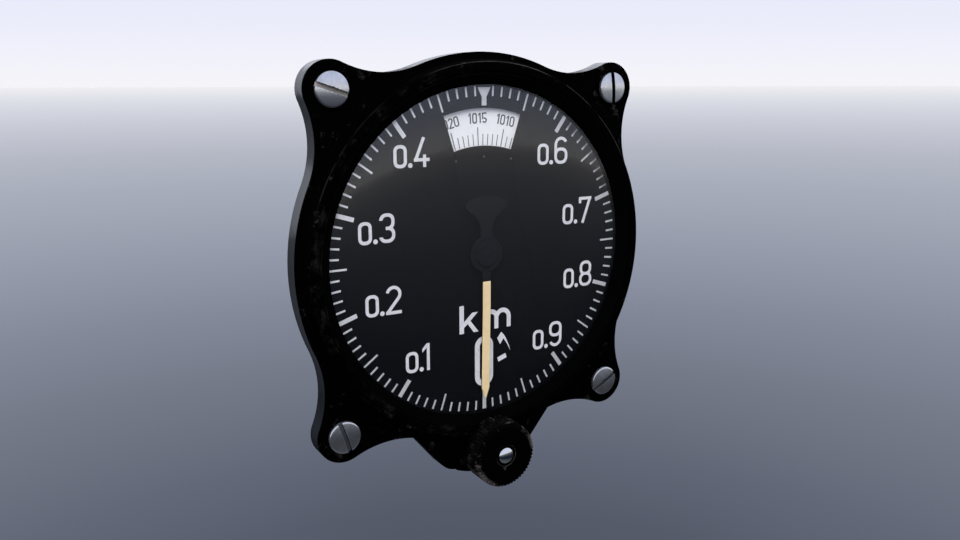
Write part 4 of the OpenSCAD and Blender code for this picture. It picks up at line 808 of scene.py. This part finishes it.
def makeLugScrews(s):
    low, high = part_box("mounting_screws")
    radius, seat, top, end = s["headRadius"], s["seat"], low.y / mm, high.y / mm
    lugX = (high.x - low.x) / 2 / mm - radius
    lugZ = (high.z - low.z) / 2 / mm - radius
    edge = top + s["crown"]
    dome = [(radius * f, edge - s["crown"] * (1 - f * f)) for f in s["domeShares"]]
    profile = [(0, end), (s["shankRadius"] - s["tipChamfer"], end), (s["shankRadius"], end - s["tipChamfer"]),
               (s["shankRadius"], 0), (s["waist"], s["waistStart"]), (s["waist"], seat),
               (radius - s["underEdge"], seat), (radius, seat - s["underEdge"]),
               (radius, edge + s["edge"]), (radius - 0.05, edge + 0.05),
               (radius - s["edge"], edge - 0.02)] + dome
    for index, ((sideX, sideZ), turn, wallDirtAndShade, floorDirtLightAndShade, dull) in enumerate(s["screws"]):
        centre = (sideX * lugX, 0, sideZ * lugZ)
        screw = turnedPiece(profile)
        bpy.ops.object.select_all(action="DESELECT")
        bpy.ops.mesh.primitive_cube_add(size=1)
        cutter = bpy.context.active_object
        cutter.data.transform(Matrix.Diagonal((s["slotLength"] * mm, s["slotDepth"] * 2 * mm,
                                               s["slotWidth"] * mm, 1)))
        movePiece(cutter, (0, top, 0))
        applyModifier(screw, "BOOLEAN", operation="DIFFERENCE", object=cutter, solver="EXACT")
        bpy.data.objects.remove(cutter)
        softenEdges(screw, s["slotBevel"], 50)
        screw.data.transform(Matrix.Rotation(math.radians(-turn), 4, "Y"))
        movePiece(screw, centre)
        smoothPiece(screw, 40)
        slot = (turn, s["slotWidth"] / 2, top + s["slotDepth"], wallDirtAndShade, floorDirtLightAndShade)
        metal = turnedMetal("lugScrewSteel%d" % index, s["light"], s["dark"], s["roughness"], centre,
                            s["ringWidth"], s["marks"], slot, dull)
        finishPiece(screw, "lugScrew%d" % index, "case", "steel", metal,
                    *(["mounting_screws"] if index == 0 else []))


makeLugScrews(screwSettings)

# Setting knob: straight ribs with rubbed corners, a flat face with a well for its screw
knobSettings = {
    "radius": 7.39, "ribs": 54, "depth": 0.36, "front": -13.85, "back": -7.75, "chamfer": 0.45,
    "wellRadius": 2.4, "wellDepth": 0.5, "axisZ": knobAxis[2], "faceRadius": 6.2,
    "boreRadius": 1.01, "boreDepth": 1.0,         # in front, for the screw
    "recessRadius": 2.02, "recessDepth": 2.0,     # behind, for the shaft
    # one rib, from valley to valley: share of its width and of its depth
    "ribProfile": [(0.02, 1), (0.16, 0.75), (0.28, 0.15), (0.4, 0), (0.6, 0), (0.72, 0.15), (0.86, 0.75)],
    "rubbed": {"ends": 0.7, "well": 1.0, "crests": 0.14},
    "mark": [(-0.9, -46.75), (0.15, -46.65), (-0.3, -47.6)],   # corners of the printed arrowhead
    "markFront": 0.015, "markBack": 0.1,                       # before and behind the face
}


def makeKnob(s):
    crest, valley = s["radius"], s["radius"] - s["depth"]
    front, back, chamfer = s["front"], s["back"], s["chamfer"]

    def ribbedRing(y, outer, inner):
        points = []
        for rib in range(s["ribs"]):
            for share, drop in s["ribProfile"]:
                angle = 2 * math.pi * (rib + share) / s["ribs"]
                radius = outer + (inner - outer) * drop
                points.append((radius * math.cos(angle), y, radius * math.sin(angle) + s["axisZ"]))
        return points

    def roundRing(y, radius):
        return ribbedRing(y, radius, radius)

    rings = [
        roundRing(front + s["wellDepth"] + s["boreDepth"], s["boreRadius"]),
        roundRing(front + s["wellDepth"], s["boreRadius"] + 0.02),
        roundRing(front + s["wellDepth"], s["wellRadius"] - 0.05),     # floor of the well
        roundRing(front + 0.08, s["wellRadius"]),
        roundRing(front, s["wellRadius"] + 0.1),                       # rim of the well
        roundRing(front, s["wellRadius"] + 0.22),
        roundRing(front, s["faceRadius"] - 0.35),                      # face
        roundRing(front, s["faceRadius"]),
        ribbedRing(front + 0.05, crest - chamfer - 0.1, crest - chamfer - 0.12),
        ribbedRing(front + chamfer * 0.35, crest - chamfer * 0.45, valley - 0.12),   # the ribs' rounded ends
        ribbedRing(front + chamfer, crest, valley),                    # ribs
        ribbedRing(back - 0.3, crest, valley),
        ribbedRing(back, crest - 0.3, valley - 0.1),                   # back
        roundRing(back, s["recessRadius"]),
        roundRing(back - s["recessDepth"], s["recessRadius"] - 0.01),
    ]
    per = len(rings[0])
    piece = startRing(per)
    placeVertices(piece.data.vertices, rings[0])
    selectOnly(piece)
    for points in rings[1:]:
        bpy.ops.object.mode_set(mode="EDIT")
        bpy.ops.mesh.extrude_edges_move(TRANSFORM_OT_translate={"value": (0, 0, 0)})
        bpy.ops.object.mode_set(mode="OBJECT")
        placeVertices(list(piece.data.vertices)[-per:], points)
    bpy.ops.object.mode_set(mode="EDIT")
    bpy.ops.mesh.select_all(action="SELECT")
    bpy.ops.mesh.select_non_manifold()
    bpy.ops.mesh.edge_face_add()
    bpy.ops.mesh.select_all(action="SELECT")
    bpy.ops.mesh.normals_make_consistent(inside=False)
    bpy.ops.object.mode_set(mode="OBJECT")
    # how much each corner is handled: the ribs' front ends, the well's rim, and the crests a little
    rubbed = s["rubbed"]
    layer = piece.data.attributes.new("rubbed", "FLOAT", "POINT")
    for vertex, value in zip(piece.data.vertices, layer.data):
        radius = math.hypot(vertex.co.x, vertex.co.z - s["axisZ"] * mm) / mm
        depth = vertex.co.y / mm - front
        onEnd = radius > s["faceRadius"] + 0.3 and depth < 0.6
        onWell = depth < 0.1 and abs(radius - s["wellRadius"] - 0.05) < 0.1
        onCrest = min(1, max(0, (radius - valley) / s["depth"]))
        value.value = rubbed["ends"] if onEnd else rubbed["well"] if onWell else rubbed["crests"] * onCrest
    smoothPiece(piece, 30)
    finishPiece(piece, "ribbedKnob", "setting_knob", "knob_black", finishOf("knob"), "knob")
    mark = platePiece(s["mark"], front - s["markFront"], front + s["markBack"])
    finishPiece(mark, "knobMark", "setting_knob", "scale_grey", dullPrint)


makeKnob(knobSettings)

# The knob's domed screw
knobScrewSettings = {
    "radius": 1.9, "rise": 1.1, "lift": 0.02, "side": 0.2, "edge": 0.25, "shankRadius": 1.0,
    "axisZ": knobAxis[2], "domeAngles": range(84, -1, -7),   # degrees from the top
}


def makeKnobScrew(s):
    low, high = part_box("knob_screw")
    seat, back = low.y / mm + s["rise"] + s["lift"], high.y / mm
    dome = [(s["radius"] * math.sin(a), seat - s["edge"] - (s["rise"] - s["edge"]) * math.cos(a))
            for a in map(math.radians, s["domeAngles"])]
    piece = turnedPiece([(0, back), (s["shankRadius"], back), (s["shankRadius"], seat), (s["radius"], seat),
                         (s["radius"], seat - s["side"])] + dome)
    movePiece(piece, (0, 0, s["axisZ"]))
    smoothPiece(piece, 40)
    finishPiece(piece, "knobScrew", "setting_knob", "screw_polished", finishOf("knob_screw"), "knob_screw")


makeKnobScrew(knobScrewSettings)

# The hand: fan-shaped counterweight, hub disc with rings, narrow blade with a cream bar
handSettings = {
    "front": -5.45, "back": -5.15, "hubRadius": 4.0, "boreRadius": 1.02, "fanRadius": 12.8,
    # the fan's right side, from the hub outwards
    "fan": [(1.5, 3.2), (1.5, 6.0), (1.95, 7.3), (2.9, 8.5), (4.3, 9.5), (5.1, 10.2), (5.3, 10.9), (5.0, 11.6)],
    "bladeWidth": 1.9, "bladeTip": 32.9, "taper": 30.9,
    "neckWidth": 2.2, "neckStart": 2, "neckEnd": 7.1, "neckRise": 0.02,
    "barWidth": 1.95, "barStart": 6.1, "barTip": 33.4, "barTipWidth": 0.4, "barRise": 0.12,
    "bend": 12, "lean": 1.6,          # mm from the axis, and degrees
    "plateBevel": 0.1, "barBevel": 0.08,
    # the hub's rings: distance inside its edge, and how far they stand before the plate
    "rings": [(0, 0.01), (0.12, 0.1), (0.5, 0.1), (0.6, 0.02)],
    # the boss: radius, and how far it stands before the plate
    "boss": [(0, 0.11), (1.0, 0.11), (1.0, 0), (2.75, 0), (2.75, 0.22), (2.6, 0.36), (1.3, 0.42), (1.1, 0.36),
             (0.9, 0.42), (0, 0.45)],
}


def leanBlade(piece, s):
    # beyond the bend the blade leans back towards the dial
    selectOnly(piece)
    bpy.ops.object.mode_set(mode="EDIT")
    bpy.ops.mesh.select_all(action="SELECT")
    bpy.ops.mesh.bisect(plane_co=(0, 0, -s["bend"] * mm), plane_no=(0, 0, 1))
    bpy.ops.object.mode_set(mode="OBJECT")
    for vertex in piece.data.vertices:
        vertex.co.y += max(0, -s["bend"] * mm - vertex.co.z) * math.tan(math.radians(s["lean"]))


def makeHand(s):
    front, back, hub, bore = s["front"], s["back"], s["hubRadius"], s["boreRadius"]
    right = s["fan"]
    left = [(-x, z) for x, z in reversed(right)]
    start = math.atan2(right[-1][0], right[-1][1])
    arch = [(s["fanRadius"] * math.sin(start * k / 8), s["fanRadius"] * math.cos(start * k / 8))
            for k in range(7, -8, -1)]
    fan = platePiece([(right[0][0], 0)] + right + arch + left + [(-right[0][0], 0)], front, back)
    disc = turnedPiece([(bore, back), (hub, back)] + [(hub - inset, front - rise) for inset, rise in s["rings"]]
                       + [(bore, front - s["rings"][-1][1])])
    half, taper = s["bladeWidth"] / 2, -s["taper"]
    blade = platePiece([(half, 0), (-half, 0), (-half, taper), (0, -s["bladeTip"]), (half, taper)],
                       front + s["barRise"], back)
    half, high, low = s["neckWidth"] / 2, -s["neckStart"], -s["neckEnd"]
    neck = platePiece([(half, high), (-half, high), (-half, low), (half, low)], front - s["neckRise"], back)
    half, tip, high, low = s["barWidth"] / 2, s["barTipWidth"] / 2, -s["barStart"], -s["barTip"]
    bar = platePiece([(half, high), (-half, high), (-half, taper), (-tip, low), (tip, low), (half, taper)],
                     front - s["barRise"], front + s["barRise"])
    for plate in (fan, blade, neck, bar):
        softenEdges(plate, s["barBevel"] if plate == bar else s["plateBevel"], 40)
    leanBlade(blade, s)
    leanBlade(bar, s)
    selectOnly(fan)
    for plate in (disc, blade, neck):
        plate.select_set(True)
    bpy.ops.object.join()
    boss = turnedPiece([(radius, front - rise) for radius, rise in s["boss"]])
    for piece, angle, name, slot, finish, node in [
            (fan, 12, "handPlate", "black_paint", handBlack, "pointer"),
            (bar, 12, "creamBar", "lume", finishOf("pointer_lume"), "pointer_lume"),
            (boss, 30, "handBoss", "black_paint", handBlack, "pointer_boss")]:
        smoothPiece(piece, angle)
        finishPiece(piece, name, "hand", slot, finish, node)


makeHand(handSettings)

print("stage: finish")
